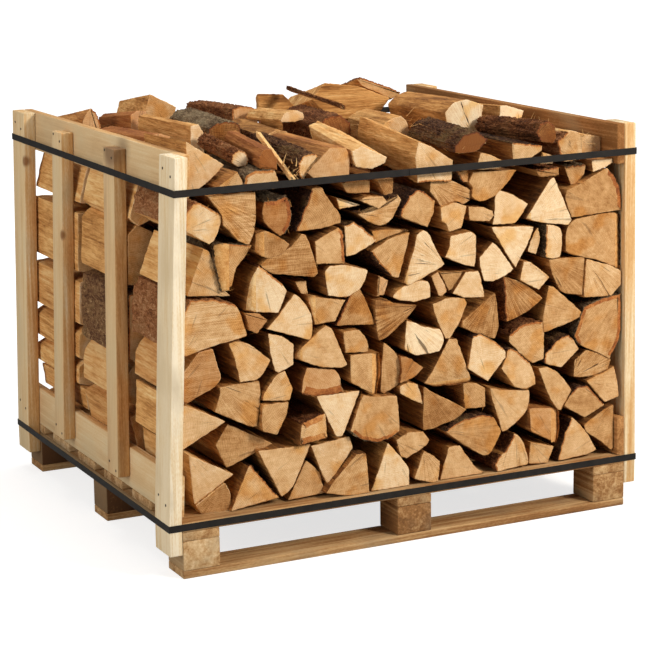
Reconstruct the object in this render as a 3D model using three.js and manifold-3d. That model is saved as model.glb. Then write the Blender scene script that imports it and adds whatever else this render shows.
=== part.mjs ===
// A firewood bundle: split logs stacked in three rows on a wooden pallet, held between two slatted
// side panels that lean in at the top, and tied round by two plastic straps.
// Millimetres. +X runs along the front, +Y to the back, +Z up.
// The origin is on the floor, under the middle of the pallet.

import * as THREE from "three";
import { mergeVertices } from "three/addons/utils/BufferGeometryUtils.js";
import Module from "manifold-3d";

const wasm = await Module();
wasm.setup();

// Pallet, from the floor up: skids along X, blocks, stringers along Y, deck boards along X
const PALLET_WIDE = 1200;
const PALLET_DEEP = 1080;
const BLOCK_SIDE = 92;
const SKID_TOP = 19;
const BLOCK_TOP = 89;
const STRINGER_TOP = 111;
const DECK_TOP = 133;
const DECK_BOARDS = 6;
const DECK_BOARD_WIDE = 125;

// Side panels: two corner posts and two slats outside, two rails inside them
const POST_THICK = 32;
const POST_WIDE = 88;
const POST_FOOT = 57;
const POST_TOP = 967;
const SLAT_WIDE = 68;
const SLAT_CENTRES = [-180, 206];
// How far the top of each slat was nailed behind its foot
const SLAT_SLANTS = { left: [36, 0], right: [0, 0] };
const SLAT_FOOT = 160;
const SLAT_TOP = 945;
const RAIL_THICK = 22;
const RAIL_HIGH = 98;
const LEFT_RAIL_SETBACK = 40;
const PANEL_STEP = 200;

// How far each corner post's top leans in over the load
const LEANS = { left: { front: 37.6, back: 21.5 }, right: { front: 16.5, back: 13.9 } };

// Straps: heights of their middles, the front left corner of the upper one pulled down a little
const STRAP_WIDE = 16;
const STRAP_THICK = 1.2;
const LOWER_STRAP_Z = 123;
const UPPER_STRAP_Z = 898;
const UPPER_STRAP_DIP = 10;

// Air left between pieces that touch
const CONTACT_GAP = 0.3;
const RAIL_GAP = 0.4;

// Rows of logs, front to back: where the ends lie, and how unevenly
const FRONT_ROW = { front: -530, back: -212 };
const MIDDLE_ROW = { front: -190, back: 125 };
const BACK_ROW = { front: 147, back: 480 };
const END_UNEVEN = 8;

// How far touching logs of a row bite into each other, and the smallest bend kept in an outline
const BITE = 1.5;
const NUDGE = 0.6;
const LEAST_EDGE = 1;
const FRONT_DETAIL = 5;
const REAR_DETAIL = 9;

// In the rear rows, logs whose middle lies left of here are given by hand, and the smallest ends,
// in square millimetres, and what stands higher than this are left out
const LEFT_LOGS_EDGE = -462;
const LEAST_REAR_END = 2500;
const REAR_TOP = 892;
const SWAY_HIGH = 130;
const SWAY_WIDE = 150;

// Logs stay this far from the panels, and this far above and below a rail they count as beside it
const WALL_GAP = 2;
const RAIL_NEAR = 16;

// How many times as deep as drawn a loose log's underside may hang at most, and to what accuracy
const HANG_MOST = 3;
const HANG_STEP = 0.004;

// The outlines of the front logs were drawn on the plane of the front ends, as seen from here
const EYE = { x: -2335, y: -4825, z: 1609 };

// Each front log: how far its end is set back, then the corners [x, z] of its end as seen
const FRONT_LOGS = [
  // Bottom course, left to right
  [30, [-561, 168], [-487, 211], [-474, 185], [-476, 137], [-548, 138]],
  [30, [-577, 290], [-465, 228], [-565, 171]],
  [22, [-425, 247], [-352, 156], [-475, 138]],
  [30, [-509, 303], [-478, 349], [-366, 288], [-410, 272], [-482, 245]],
  [15, [-405, 276], [-300, 272], [-266, 275], [-318, 172], [-345, 157]],
  [25, [-282, 236], [-245, 203], [-234, 150], [-330, 146]],
  [10, [-268, 268], [-168, 279], [-159, 250], [-222, 170], [-231, 176]],
  [0, [-212, 172], [-150, 232], [-124, 232], [-116, 130], [-170, 133], [-230, 148]],
  [0, [-66, 250], [-30, 208], [-8, 178], [-8, 135], [-111, 135]],
  [0, [-44, 253], [-10, 268], [30, 263], [47, 240], [42, 230], [-15, 204], [-32, 211]],
  [0, [32, 216], [50, 206], [76, 184], [70, 134], [52, 132], [5, 150]],
  [0, [100, 216], [130, 217], [150, 188], [178, 150], [200, 138], [76, 136], [84, 165]],
  [0, [90, 256], [118, 273], [155, 283], [200, 284], [224, 276], [247, 236],
    [224, 194], [212, 182], [195, 181], [137, 220]],
  [0, [285, 226], [297, 219], [312, 195], [325, 152], [322, 142], [235, 136],
    [229, 156], [243, 173], [262, 186]],
  [0, [330, 197], [397, 178], [379, 138], [326, 143]],
  [0, [326, 283], [390, 277], [412, 266], [413, 215], [404, 186], [330, 226]],
  [0, [450, 246], [466, 231], [494, 200], [521, 153], [500, 145], [410, 138], [427, 200]],
  [0, [486, 222], [552, 258], [572, 262], [586, 244], [584, 226], [573, 206],
    [575, 152], [566, 145], [530, 177], [492, 201]],
  // Second course
  [25, [-586, 405], [-575, 403], [-502, 366], [-483, 355], [-592, 302]],
  [10, [-496, 438], [-445, 440], [-397, 441], [-394, 405], [-404, 334], [-420, 335],
    [-509, 381], [-493, 425]],
  [5, [-390, 383], [-322, 381], [-330, 350], [-355, 308], [-390, 320], [-393, 345]],
  [0, [-291, 326], [-238, 343], [-230, 340], [-226, 283], [-296, 274]],
  [0, [-252, 386], [-138, 386], [-186, 282], [-202, 282]],
  [0, [-132, 375], [-100, 365], [-60, 365], [-42, 362], [-36, 320], [-34, 272],
    [-60, 258], [-95, 253], [-140, 268], [-165, 292]],
  [0, [-33, 383], [-10, 391], [14, 383], [22, 360], [29, 332], [5, 343], [-32, 366]],
  [10, [31, 375], [50, 360], [105, 330], [148, 303], [118, 282], [78, 275], [62, 267], [30, 268]],
  [10, [138, 370], [175, 366], [200, 350], [202, 303], [146, 305]],
  [0, [212, 350], [255, 338], [325, 330], [326, 296], [315, 272], [262, 234],
    [249, 234], [238, 272], [222, 312]],
  [0, [262, 440], [275, 441], [310, 414], [328, 395], [342, 366], [343, 342],
    [316, 334], [284, 342], [266, 366], [245, 393], [260, 420]],
  [0, [350, 382], [375, 383], [400, 370], [430, 340], [448, 315], [418, 268], [408, 270], [380, 310]],
  [0, [426, 277], [447, 306], [462, 322], [495, 321], [512, 300], [545, 265], [487, 240]],
  [0, [490, 334], [552, 352], [572, 362], [583, 320], [587, 282], [545, 272], [530, 288], [500, 322]],
  // Third course
  [15, [-586, 475], [-546, 524], [-510, 528], [-502, 495], [-491, 458], [-504, 441],
    [-578, 409], [-588, 420]],
  [10, [-470, 536], [-448, 541], [-420, 530], [-393, 508], [-368, 485], [-390, 452],
    [-402, 444], [-445, 443], [-458, 505]],
  [5, [-372, 548], [-335, 538], [-309, 516], [-311, 468], [-348, 453], [-356, 458], [-367, 500]],
  [0, [-352, 450], [-332, 456], [-313, 412], [-322, 385], [-390, 393], [-386, 408]],
  [0, [-240, 543], [-225, 551], [-211, 544], [-172, 452], [-182, 446], [-240, 454],
    [-303, 480], [-300, 495]],
  [0, [-276, 457], [-203, 444], [-192, 430], [-188, 398], [-182, 388], [-215, 386],
    [-262, 388], [-290, 400], [-285, 430]],
  [0, [-181, 531], [-140, 532], [-124, 515], [-115, 492], [-117, 477], [-176, 480]],
  [0, [-163, 474], [-87, 471], [-84, 420], [-96, 371], [-112, 378], [-162, 408]],
  [10, [-76, 495], [-50, 474], [-33, 448], [-28, 420], [-36, 388], [-75, 370], [-84, 374], [-81, 440]],
  [5, [-30, 455], [-8, 450], [30, 421], [8, 402], [-32, 390], [-26, 420]],
  [0, [-14, 541], [5, 535], [25, 522], [76, 509], [86, 490], [87, 478],
    [74, 456], [12, 452], [-20, 470], [-18, 500]],
  [0, [100, 484], [122, 482], [150, 406], [163, 371], [120, 367], [50, 374],
    [33, 383], [62, 420], [82, 452]],
  [0, [165, 483], [185, 486], [225, 464], [256, 437], [258, 420], [208, 366], [152, 405], [162, 455]],
  [0, [268, 472], [300, 494], [335, 501], [361, 498], [366, 466], [365, 404],
    [334, 396], [296, 426], [267, 458]],
  [5, [368, 412], [405, 446], [438, 456], [452, 440], [466, 417], [416, 376], [368, 391]],
  [0, [468, 490], [480, 507], [530, 517], [586, 522], [595, 495], [592, 455],
    [580, 418], [557, 380], [530, 398], [490, 416], [464, 430], [453, 450]],
  [0, [455, 390], [490, 404], [528, 394], [556, 371], [552, 356], [500, 342], [452, 347]],
  // Fourth course
  [10, [-583, 615], [-563, 645], [-500, 641], [-452, 624], [-440, 610], [-436, 585],
    [-425, 550], [-437, 545], [-500, 537], [-586, 517]],
  [0, [-430, 602], [-395, 597], [-372, 580], [-400, 552], [-418, 560], [-424, 585]],
  [0, [-305, 634], [-293, 626], [-272, 602], [-261, 578], [-259, 540], [-266, 520],
    [-290, 530], [-376, 559], [-342, 592]],
  [5, [-272, 627], [-222, 614], [-175, 606], [-184, 594], [-201, 559], [-254, 556], [-264, 598]],
  [5, [-153, 633], [-138, 630], [-122, 602], [-101, 550], [-99, 540], [-160, 545], [-200, 548]],
  [5, [-98, 597], [-70, 598], [-42, 583], [15, 574], [-12, 546], [-66, 505], [-88, 500], [-96, 545]],
  [0, [-22, 622], [22, 633], [44, 627], [50, 615], [50, 589], [5, 583], [-30, 590], [-52, 600], [-40, 615]],
  [0, [52, 640], [70, 649], [92, 610], [94, 598], [83, 589], [72, 592]],
  [15, [74, 647], [140, 643], [118, 605], [100, 600], [92, 615]],
  [0, [56, 572], [100, 584], [142, 578], [149, 565], [132, 524], [102, 484],
    [90, 485], [76, 515], [64, 542]],
  [0, [146, 641], [180, 640], [186, 628], [198, 575], [145, 578], [110, 592]],
  [0, [139, 522], [200, 566], [226, 583], [232, 550], [238, 497], [226, 470],
    [200, 480], [150, 500], [137, 508]],
  [0, [250, 618], [290, 606], [322, 587], [362, 555], [330, 533], [297, 518], [258, 507], [254, 560]],
  [0, [306, 651], [322, 650], [345, 633], [380, 605], [350, 577], [296, 606]],
  [0, [378, 584], [390, 582], [481, 503], [445, 488], [364, 469], [361, 500]],
  [0, [377, 648], [480, 643], [479, 590], [474, 552], [425, 560], [411, 568], [386, 612]],
  [0, [486, 640], [555, 612], [597, 587], [592, 573], [560, 547], [478, 552], [482, 600]],
  // Fifth course
  [10, [-527, 758], [-513, 752], [-502, 720], [-492, 672], [-465, 646], [-568, 655]],
  [5, [-500, 766], [-470, 767], [-408, 756], [-426, 731], [-450, 706], [-458, 668],
    [-484, 656], [-500, 720]],
  [0, [-398, 784], [-372, 786], [-340, 768], [-314, 750], [-330, 730], [-362, 722],
    [-385, 728], [-400, 740]],
  [0, [-393, 708], [-366, 686], [-332, 658], [-324, 642], [-345, 594], [-390, 599],
    [-427, 606], [-416, 670], [-404, 692]],
  [5, [-283, 771], [-273, 768], [-250, 702], [-244, 676], [-252, 668], [-365, 687],
    [-388, 708], [-375, 720], [-335, 728], [-303, 750]],
  [20, [-303, 662], [-275, 661], [-271, 630], [-288, 633]],
  [0, [-250, 750], [-215, 768], [-190, 777], [-180, 768], [-175, 692], [-247, 698]],
  [0, [-227, 678], [-214, 690], [-172, 689], [-117, 671], [-121, 650], [-137, 625],
    [-172, 612], [-219, 620]],
  [0, [-174, 780], [-150, 787], [-122, 765], [-92, 740], [-108, 729], [-150, 711], [-172, 708]],
  [10, [-104, 762], [-60, 762], [-8, 755], [-58, 746], [-96, 733]],
  [0, [-5, 750], [-55, 741], [-106, 713], [-82, 680], [-50, 648], [-34, 645], [-20, 695]],
  [10, [-88, 655], [-62, 641], [-74, 608], [-92, 607]],
  [0, [14, 742], [32, 752], [46, 744], [64, 705], [88, 665], [74, 657],
    [30, 638], [-8, 624], [-22, 630], [-8, 668], [8, 712]],
  [0, [105, 731], [160, 737], [175, 726], [174, 680], [170, 651], [142, 658], [89, 682], [100, 700]],
  [0, [220, 706], [231, 697], [278, 636], [262, 624], [220, 610], [196, 614], [185, 650], [184, 672]],
  [0, [216, 742], [300, 738], [334, 734], [316, 690], [298, 664], [284, 638], [274, 650]],
  [5, [336, 722], [345, 731], [352, 704], [349, 688], [340, 665], [318, 674], [323, 694]],
  [0, [368, 736], [392, 732], [410, 722], [415, 710], [414, 670], [409, 652], [385, 650], [368, 656]],
  [0, [430, 728], [444, 741], [552, 751], [590, 745], [588, 700], [578, 634],
    [556, 630], [500, 648], [438, 671], [422, 678], [422, 710]],
  // Sixth course
  [0, [-573, 842], [-562, 864], [-533, 863], [-508, 847], [-483, 831], [-481, 816],
    [-500, 773], [-512, 768], [-574, 803]],
  [0, [-515, 876], [-397, 876], [-396, 815], [-404, 775], [-414, 757], [-440, 766],
    [-462, 793], [-478, 806], [-480, 832]],
  [0, [-376, 853], [-350, 852], [-322, 860], [-310, 840], [-310, 800], [-320, 784],
    [-338, 770], [-362, 790], [-378, 806], [-382, 830]],
  [5, [-256, 874], [-232, 874], [-220, 852], [-185, 806], [-186, 787], [-240, 778],
    [-298, 777], [-270, 835]],
  [10, [-195, 846], [-136, 825], [-160, 822], [-187, 820]],
  [10, [-182, 880], [-108, 880], [-110, 852], [-150, 853], [-168, 857]],
  [5, [-136, 836], [-118, 843], [-74, 840], [-64, 826], [-86, 812]],
  [0, [-146, 808], [-100, 812], [-62, 824], [-36, 842], [-27, 828], [-50, 787],
    [-68, 773], [-88, 772], [-114, 786]],
  [5, [-88, 880], [-48, 880], [-50, 846], [-70, 842]],
  [0, [-8, 832], [12, 848], [32, 845], [62, 818], [60, 795], [43, 757], [0, 776], [-30, 788], [-26, 808]],
  [5, [50, 866], [80, 868], [115, 860], [160, 836], [158, 812], [140, 804],
    [116, 814], [78, 803], [66, 822], [48, 842]],
  [0, [78, 800], [115, 811], [148, 799], [142, 778], [133, 748], [100, 742], [92, 762], [80, 768]],
  [0, [152, 797], [192, 793], [218, 782], [222, 770], [210, 757], [156, 763]],
  [0, [166, 878], [284, 875], [262, 848], [226, 817], [200, 807], [174, 809],
    [162, 820], [165, 842], [155, 856]],
  [10, [118, 885], [152, 885], [150, 856], [138, 856]],
  [0, [236, 831], [276, 816], [318, 790], [297, 760], [280, 746], [218, 748], [224, 778], [224, 816]],
  [0, [382, 848], [391, 848], [441, 741], [431, 729], [350, 742], [311, 754]],
  [0, [421, 796], [428, 815], [456, 823], [498, 842], [541, 860], [556, 850],
    [578, 812], [588, 790], [588, 754], [500, 750], [441, 746]],
  [15, [418, 874], [478, 874], [475, 850], [450, 827], [438, 827]],
  [5, [495, 882], [556, 882], [563, 873], [540, 863], [500, 853]],
  [5, [338, 870], [402, 872], [403, 853], [350, 852]],
  // Under and over the upper strap
  [10, [-490, 893], [-440, 925], [-424, 893], [-428, 880], [-480, 880]],
  [8, [-424, 893], [-422, 915], [-395, 925], [-350, 922], [-338, 893], [-345, 880], [-420, 880]],
  [5, [-272, 912], [-232, 942], [-210, 962], [-168, 960], [-160, 938], [-160, 885], [-240, 885]],
  [5, [176, 890], [186, 923], [212, 916], [248, 898], [240, 882], [180, 882]],
  [5, [270, 942], [356, 928], [355, 916], [325, 900], [300, 892], [276, 882]],
  [5, [356, 912], [390, 900], [385, 882], [350, 884]],
  [60, [456, 915], [470, 948], [537, 938], [530, 900], [460, 895]],
];

// Left ends of the two rows behind, seen between the slats
const MIDDLE_LEFT_LOGS = [
  [[-580, 134], [-470, 134], [-478, 190], [-560, 203], [-576, 196]],
  [[-575, 208], [-500, 206], [-478, 262], [-540, 322], [-588, 300], [-577, 240]],
  [[-592, 334], [-530, 330], [-470, 372], [-500, 420], [-560, 432], [-592, 402]],
  [[-590, 440], [-540, 436], [-486, 478], [-478, 560], [-530, 610], [-588, 600]],
  [[-586, 622], [-520, 615], [-478, 660], [-490, 730], [-550, 764], [-586, 742]],
  [[-578, 782], [-530, 770], [-470, 800], [-480, 862], [-548, 866]],
];
const BACK_LEFT_LOGS = [
  [[-578, 134], [-480, 134], [-476, 190], [-530, 228], [-577, 214]],
  [[-590, 240], [-520, 234], [-478, 250], [-500, 292], [-580, 296]],
  [[-590, 306], [-520, 298], [-470, 330], [-500, 356], [-560, 366], [-588, 352]],
  [[-590, 376], [-540, 368], [-474, 400], [-500, 450], [-560, 452], [-589, 436]],
  [[-588, 464], [-520, 456], [-470, 520], [-520, 578], [-586, 572]],
  [[-586, 596], [-530, 590], [-472, 660], [-500, 740], [-584, 746]],
  [[-580, 772], [-500, 764], [-468, 820], [-520, 864], [-560, 862]],
];

// Logs on top of the stack: front and back ends, how far the back end is moved, and the corners
// [x, z] of the front end. They settle on what lies under them, in this order: hang is how many
// times as deep as drawn the underside may reach. Those with a row are pressed onto it and joined.
const TOP_LOGS = [
  { name: "red_brown_log_left", row: "middle_row_logs", ends: [-188, 132], shift: [-2, -16],
    end: [[-534, 941], [-524, 970], [-486, 977], [-461, 966], [-458, 911], [-527, 892]] },
  { name: "brown_bark_log", row: "middle_row_logs", ends: [-184, 134], shift: [36, -6],
    end: [[-222, 927], [-216, 951], [-184, 963], [-156, 959], [-145, 946], [-158, 913]] },
  { name: "dark_bark_log_middle", row: "middle_row_logs", ends: [-191, 132], shift: [50, -8],
    end: [[-63, 927], [-74, 967], [-51, 985], [-13, 990], [14, 970], [19, 926]] },
  { name: "torn_split_log", row: "middle_row_logs", ends: [-185, 80], shift: [40, -10],
    end: [[104, 911], [104, 955], [132, 971], [160, 976], [176, 960], [193, 905]] },
  { name: "brown_log_back_left", row: "back_row_logs", ends: [158, 400], shift: [3, -31],
    end: [[-426, 949], [-425, 981], [-409, 990], [-385, 989], [-374, 955], [-379, 925], [-422, 923]] },
  { name: "wedge_log_behind_left_post", ends: [-470, -215], shift: [0, -8], colour: "paleSplit",
    end: [[-537, 992], [-446, 933], [-479, 902], [-506, 881], [-537, 879]] },
  { name: "bark_log_with_small_end", ends: [-450, -216], shift: [16, 12], colour: "redBark",
    end: [[-420, 933], [-418, 951], [-402, 961], [-385, 956], [-376, 939], [-381, 921], [-403, 918]] },
  { name: "orange_bark_log", ends: [-505, -216], shift: [40, 9], colour: "redBark",
    end: [[-374, 918], [-374, 950], [-364, 965], [-344, 965], [-331, 938], [-332, 911]] },
  { name: "mossy_bark_log", ends: [-528, -226], shift: [6, 15], colour: "darkBark",
    end: [[-290, 914], [-288, 934], [-275, 950], [-246, 952], [-236, 942], [-258, 920], [-280, 895]] },
  { name: "splintered_lath", ends: [-531, -345], shift: [0, 84], hang: 1, colour: "paleSplit",
    end: [[-310, 892], [-309, 903], [-298, 899], [-299, 888]] },
  { name: "pale_slab_log", ends: [-528, -205], shift: [46, 21], hang: 1, colour: "paleSplit",
    end: [[-152, 949], [-127, 960], [-63, 930], [-68, 917], [-102, 905], [-143, 913]] },
  { name: "long_brown_log", ends: [-528, -205], shift: [15, 27], colour: "brownSplit",
    end: [[19, 959], [56, 945], [112, 910], [109, 873], [18, 875], [11, 923]] },
  { name: "big_dark_bark_log", ends: [-527, -205], shift: [48, -3], colour: "darkBark",
    end: [[117, 912], [117, 943], [141, 967], [179, 974], [206, 951], [185, 924], [168, 890], [131, 890]] },
  { name: "dark_bark_log_right", ends: [-526, -205], shift: [16, -20], colour: "darkBark",
    end: [[354, 928], [342, 958], [351, 979], [373, 985], [393, 971], [396, 940], [388, 919]] },
  { name: "splintered_log_right", ends: [-500, -205], shift: [4, -8], colour: "redBark",
    end: [[424, 904], [418, 928], [452, 955], [492, 942], [490, 926], [484, 890], [436, 888]] },
  { name: "tan_log_left", ends: [-192, 130], shift: [-8, -8], colour: "paleSplit",
    end: [[-410, 953], [-409, 989], [-390, 992], [-376, 970], [-377, 930], [-408, 908]] },
  { name: "grey_bark_log", ends: [-186, 140], shift: [33, -3], colour: "greyBark",
    end: [[-368, 952], [-360, 978], [-336, 991], [-305, 993], [-279, 982], [-280, 946], [-328, 925]] },
  { name: "yellow_split_log", ends: [-192, 128], shift: [50, -29], colour: "paleSplit",
    end: [[-172, 970], [-174, 985], [-163, 1004], [-136, 1010], [-114, 1001], [-112, 982], [-134, 966]] },
  { name: "big_pale_log", ends: [-196, 134], shift: [13, -11], colour: "paleSplit",
    end: [[278, 977], [301, 1000], [338, 1008], [387, 990], [382, 940], [373, 887], [298, 892]] },
  { name: "small_pale_log_right", ends: [-194, 126], shift: [40, -22], colour: "paleSplit",
    end: [[436, 949], [439, 984], [456, 985], [510, 967], [501, 944], [505, 888], [439, 892]] },
  { name: "small_log_back_left", ends: [250, 482], shift: [-8, -43], colour: "redBark",
    end: [[-523, 944], [-516, 972], [-497, 993], [-481, 977], [-472, 944], [-476, 911], [-521, 919]] },
  { name: "upturned_split_log", ends: [215, 482], shift: [17, -44], colour: "brownSplit",
    end: [[-362, 983], [-350, 1023], [-279, 986], [-291, 953], [-357, 947]] },
  { name: "red_log_back", ends: [150, 470], shift: [7, -15], colour: "redBark",
    end: [[-152, 961], [-152, 979], [-124, 985], [-90, 978], [-76, 967], [-85, 942], [-136, 929]] },
  { name: "tan_split_log_back", ends: [215, 330], shift: [47, -24], colour: "brownSplit",
    end: [[-44, 958], [-51, 1006], [23, 1001], [66, 961], [62, 934], [-33, 926]] },
  { name: "flat_brown_split_log", ends: [190, 486], shift: [37, -67], colour: "brownSplit",
    end: [[96, 985], [134, 1026], [231, 1012], [327, 975], [284, 929], [147, 933]] },
  { name: "red_stick_on_top", ends: [-120, 180], shift: [-6, 18], hang: 1, colour: "redBark",
    end: [[22, 999], [24, 1008], [38, 1001], [36, 992]] },
  { name: "bark_slab_at_back", ends: [205, 478], shift: [55, -57], hang: 1, colour: "greyBark",
    end: [[236, 1029], [245, 1034], [347, 996], [368, 984], [341, 970], [251, 1010]] },
];

const FINISHES = {
  pallet: { color: 0xc9a877, roughness: 0.75 },
  panel: { color: 0xdcc596, roughness: 0.65 },
  strap: { color: 0x2e2c2a, roughness: 0.45 },
  paleSplit: { color: 0xd9a96a, roughness: 0.85 },
  brownSplit: { color: 0xa9743f, roughness: 0.85 },
  redBark: { color: 0x8f5530, roughness: 0.9 },
  greyBark: { color: 0x7b6a58, roughness: 0.95 },
  darkBark: { color: 0x54402f, roughness: 0.95 },
};

function finish(name) {
  return new THREE.MeshStandardMaterial({ ...FINISHES[name], metalness: 0 });
}

function mesh(name, geometry, finishName) {
  const made = new THREE.Mesh(geometry, finish(finishName));
  made.name = name;
  return made;
}

// A block or board from its lowest to its highest corner, a hair short of the piece above it.
function board(name, low, high) {
  const size = high.map((value, axis) => value - low[axis]);
  size[2] -= CONTACT_GAP;
  const made = mesh(name, new THREE.BoxGeometry(...size), "pallet");
  made.position.set(...low.map((value, axis) => value + size[axis] / 2));
  return made;
}

function pallet() {
  const group = new THREE.Group();
  const halfWide = PALLET_WIDE / 2;
  const halfDeep = PALLET_DEEP / 2;
  const half = BLOCK_SIDE / 2;
  const columns = { left: -halfWide + half, middle: 0, right: halfWide - half };
  const lines = { front: -halfDeep + half, middle: 0, back: halfDeep - half };
  for (const [line, y] of Object.entries(lines)) {
    group.add(board(`skid_${line}`, [-halfWide, y - half, 0], [halfWide, y + half, SKID_TOP]));
    for (const [column, x] of Object.entries(columns)) {
      const low = [x - half, y - half, SKID_TOP];
      group.add(board(`block_${line}_${column}`, low, [x + half, y + half, BLOCK_TOP]));
    }
  }
  for (const [column, x] of Object.entries(columns)) {
    const low = [x - half, -halfDeep, BLOCK_TOP];
    group.add(board(`stringer_${column}`, low, [x + half, halfDeep, STRINGER_TOP]));
  }
  const pitch = (PALLET_DEEP - DECK_BOARD_WIDE) / (DECK_BOARDS - 1);
  for (let i = 0; i < DECK_BOARDS; i++) {
    const y = -halfDeep + i * pitch;
    const low = [-halfWide, y, STRINGER_TOP];
    group.add(board(`deck_board_${i + 1}`, low, [halfWide, y + DECK_BOARD_WIDE, DECK_TOP]));
  }
  return group;
}

// How far a panel has moved in at a depth y and a height z: nothing at the deck, most at the top.
function leanIn(side, y, z) {
  const across = (y + PALLET_DEEP / 2) / PALLET_DEEP;
  const lean = THREE.MathUtils.lerp(LEANS[side].front, LEANS[side].back, across);
  return (lean * Math.max(0, z - DECK_TOP)) / (POST_TOP - DECK_TOP);
}

// A board of a side panel, bent where the lean begins if it starts lower than the deck, and with
// its top behind its foot by the slant.
function panelBoard(name, side, across, along, up, slant = 0) {
  const [inner, outer] = across;
  const steps = up[0] < DECK_TOP ? 2 : 1;
  const lengths = Math.ceil((along[1] - along[0]) / PANEL_STEP);
  const size = [outer - inner, along[1] - along[0], up[1] - up[0]];
  const geometry = new THREE.BoxGeometry(...size, 1, lengths, steps);
  const position = geometry.getAttribute("position");
  const sign = side === "left" ? -1 : 1;
  for (let i = 0; i < position.count; i++) {
    const atBend = position.getZ(i) === 0;
    const z = atBend ? DECK_TOP : position.getZ(i) + (up[0] + up[1]) / 2;
    const slanted = (slant * (z - up[0])) / (up[1] - up[0]);
    const y = position.getY(i) + (along[0] + along[1]) / 2 + slanted;
    const x = sign * (position.getX(i) + (inner + outer) / 2 - leanIn(side, y, z));
    position.setXYZ(i, x, y, z);
  }
  if (sign < 0) turnInsideOut(geometry);
  return mesh(name, geometry, "panel");
}

// Turns every face round, after a shape has been mirrored.
function turnInsideOut(geometry) {
  const index = geometry.getIndex();
  for (let i = 0; i < index.count; i += 3) {
    const first = index.getX(i);
    index.setX(i, index.getX(i + 1));
    index.setX(i + 1, first);
  }
}

function sidePanel(side) {
  const group = new THREE.Group();
  const half = PALLET_WIDE / 2;
  const deep = PALLET_DEEP / 2;
  const posts = [half + CONTACT_GAP, half + POST_THICK];
  const rails = [half - RAIL_THICK, half - RAIL_GAP];
  const railFront = side === "left" ? -deep + LEFT_RAIL_SETBACK : -deep;
  const upright = [POST_FOOT, POST_TOP];
  group.add(panelBoard(`post_${side}_front`, side, posts, [-deep, -deep + POST_WIDE], upright));
  group.add(panelBoard(`post_${side}_back`, side, posts, [deep - POST_WIDE, deep], upright));
  SLAT_CENTRES.forEach((y, i) => {
    const along = [y - SLAT_WIDE / 2, y + SLAT_WIDE / 2];
    const up = [SLAT_FOOT, SLAT_TOP];
    group.add(panelBoard(`slat_${side}_${i + 1}`, side, posts, along, up, SLAT_SLANTS[side][i]));
  });
  const lower = [DECK_TOP, DECK_TOP + RAIL_HIGH];
  const upper = [POST_TOP - RAIL_HIGH, POST_TOP];
  group.add(panelBoard(`rail_${side}_lower`, side, rails, [railFront, deep], lower));
  group.add(panelBoard(`rail_${side}_upper`, side, rails, [railFront, deep], upper));
  return group;
}

// A flat band in a closed loop through the given corners, which lie on its inner face.
function bandLoop(corners, width, thickness) {
  const points = [];
  for (const { x, y, z } of corners) {
    const out = [x + Math.sign(x) * thickness, y + Math.sign(y) * thickness];
    points.push([x, y, z - width / 2], [x, y, z + width / 2]);
    points.push([...out, z - width / 2], [...out, z + width / 2]);
  }
  const faces = [];
  const quad = (a, b, c, d) => faces.push(a, b, c, a, c, d);
  corners.forEach((corner, i) => {
    const [innerLow, innerHigh, outerLow, outerHigh] = [0, 1, 2, 3].map((k) => 4 * i + k);
    const next = 4 * ((i + 1) % corners.length) - 4 * i;
    quad(outerLow, outerLow + next, outerHigh + next, outerHigh);
    quad(innerLow + next, innerLow, innerHigh, innerHigh + next);
    quad(innerHigh, outerHigh, outerHigh + next, innerHigh + next);
    quad(innerLow, innerLow + next, outerLow + next, outerLow);
  });
  const geometry = new THREE.BufferGeometry();
  geometry.setAttribute("position", new THREE.Float32BufferAttribute(points.flat(), 3));
  geometry.setIndex(faces);
  return geometry;
}

// A strap round the four corner posts at a height, with its front left corner lowered by a dip.
function strap(name, height, dip) {
  const reach = PALLET_WIDE / 2 + POST_THICK + CONTACT_GAP;
  const deep = PALLET_DEEP / 2 + CONTACT_GAP;
  const corner = (side, y, z) => {
    const x = reach - leanIn(side, y, z - STRAP_WIDE / 2);
    return { x: side === "left" ? -x : x, y, z };
  };
  const corners = [
    corner("left", -deep, height - dip),
    corner("right", -deep, height),
    corner("right", deep, height),
    corner("left", deep, height),
  ];
  return mesh(name, bandLoop(corners, STRAP_WIDE, STRAP_THICK), "strap");
}

// Moves a corner seen on the front plane back along the line of sight.
function setBack([x, z], depth) {
  const share = depth / (FRONT_ROW.front - EYE.y);
  return [x + (x - EYE.x) * share, z - (EYE.z - z) * share];
}

// Leaves out the corners that stand less than a tolerance off the line between their neighbours.
function simplified(outline, tolerance) {
  const corners = [...outline];
  const standOff = (i) => {
    const [a, b, c] = [-1, 0, 1].map((k) => corners[(i + k + corners.length) % corners.length]);
    const length = Math.hypot(c[0] - a[0], c[1] - a[1]) || 1;
    return Math.abs((c[0] - a[0]) * (b[1] - a[1]) - (c[1] - a[1]) * (b[0] - a[0])) / length;
  };
  while (corners.length > 3) {
    const offs = corners.map((_, i) => standOff(i));
    const least = offs.indexOf(Math.min(...offs));
    if (offs[least] > tolerance) break;
    corners.splice(least, 1);
  }
  return corners;
}

// Keeps a corner on the deck and between the side panels, clear of their rails.
function insideBay([x, z], y) {
  const byRail = z < DECK_TOP + RAIL_HIGH + RAIL_NEAR || z > POST_TOP - RAIL_HIGH - RAIL_NEAR;
  const wall = PALLET_WIDE / 2 - (byRail ? RAIL_THICK : 0) - WALL_GAP;
  const left = -wall + leanIn("left", y, z);
  const right = wall - leanIn("right", y, z);
  return [THREE.MathUtils.clamp(x, left, right), Math.max(z, DECK_TOP + CONTACT_GAP)];
}

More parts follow.
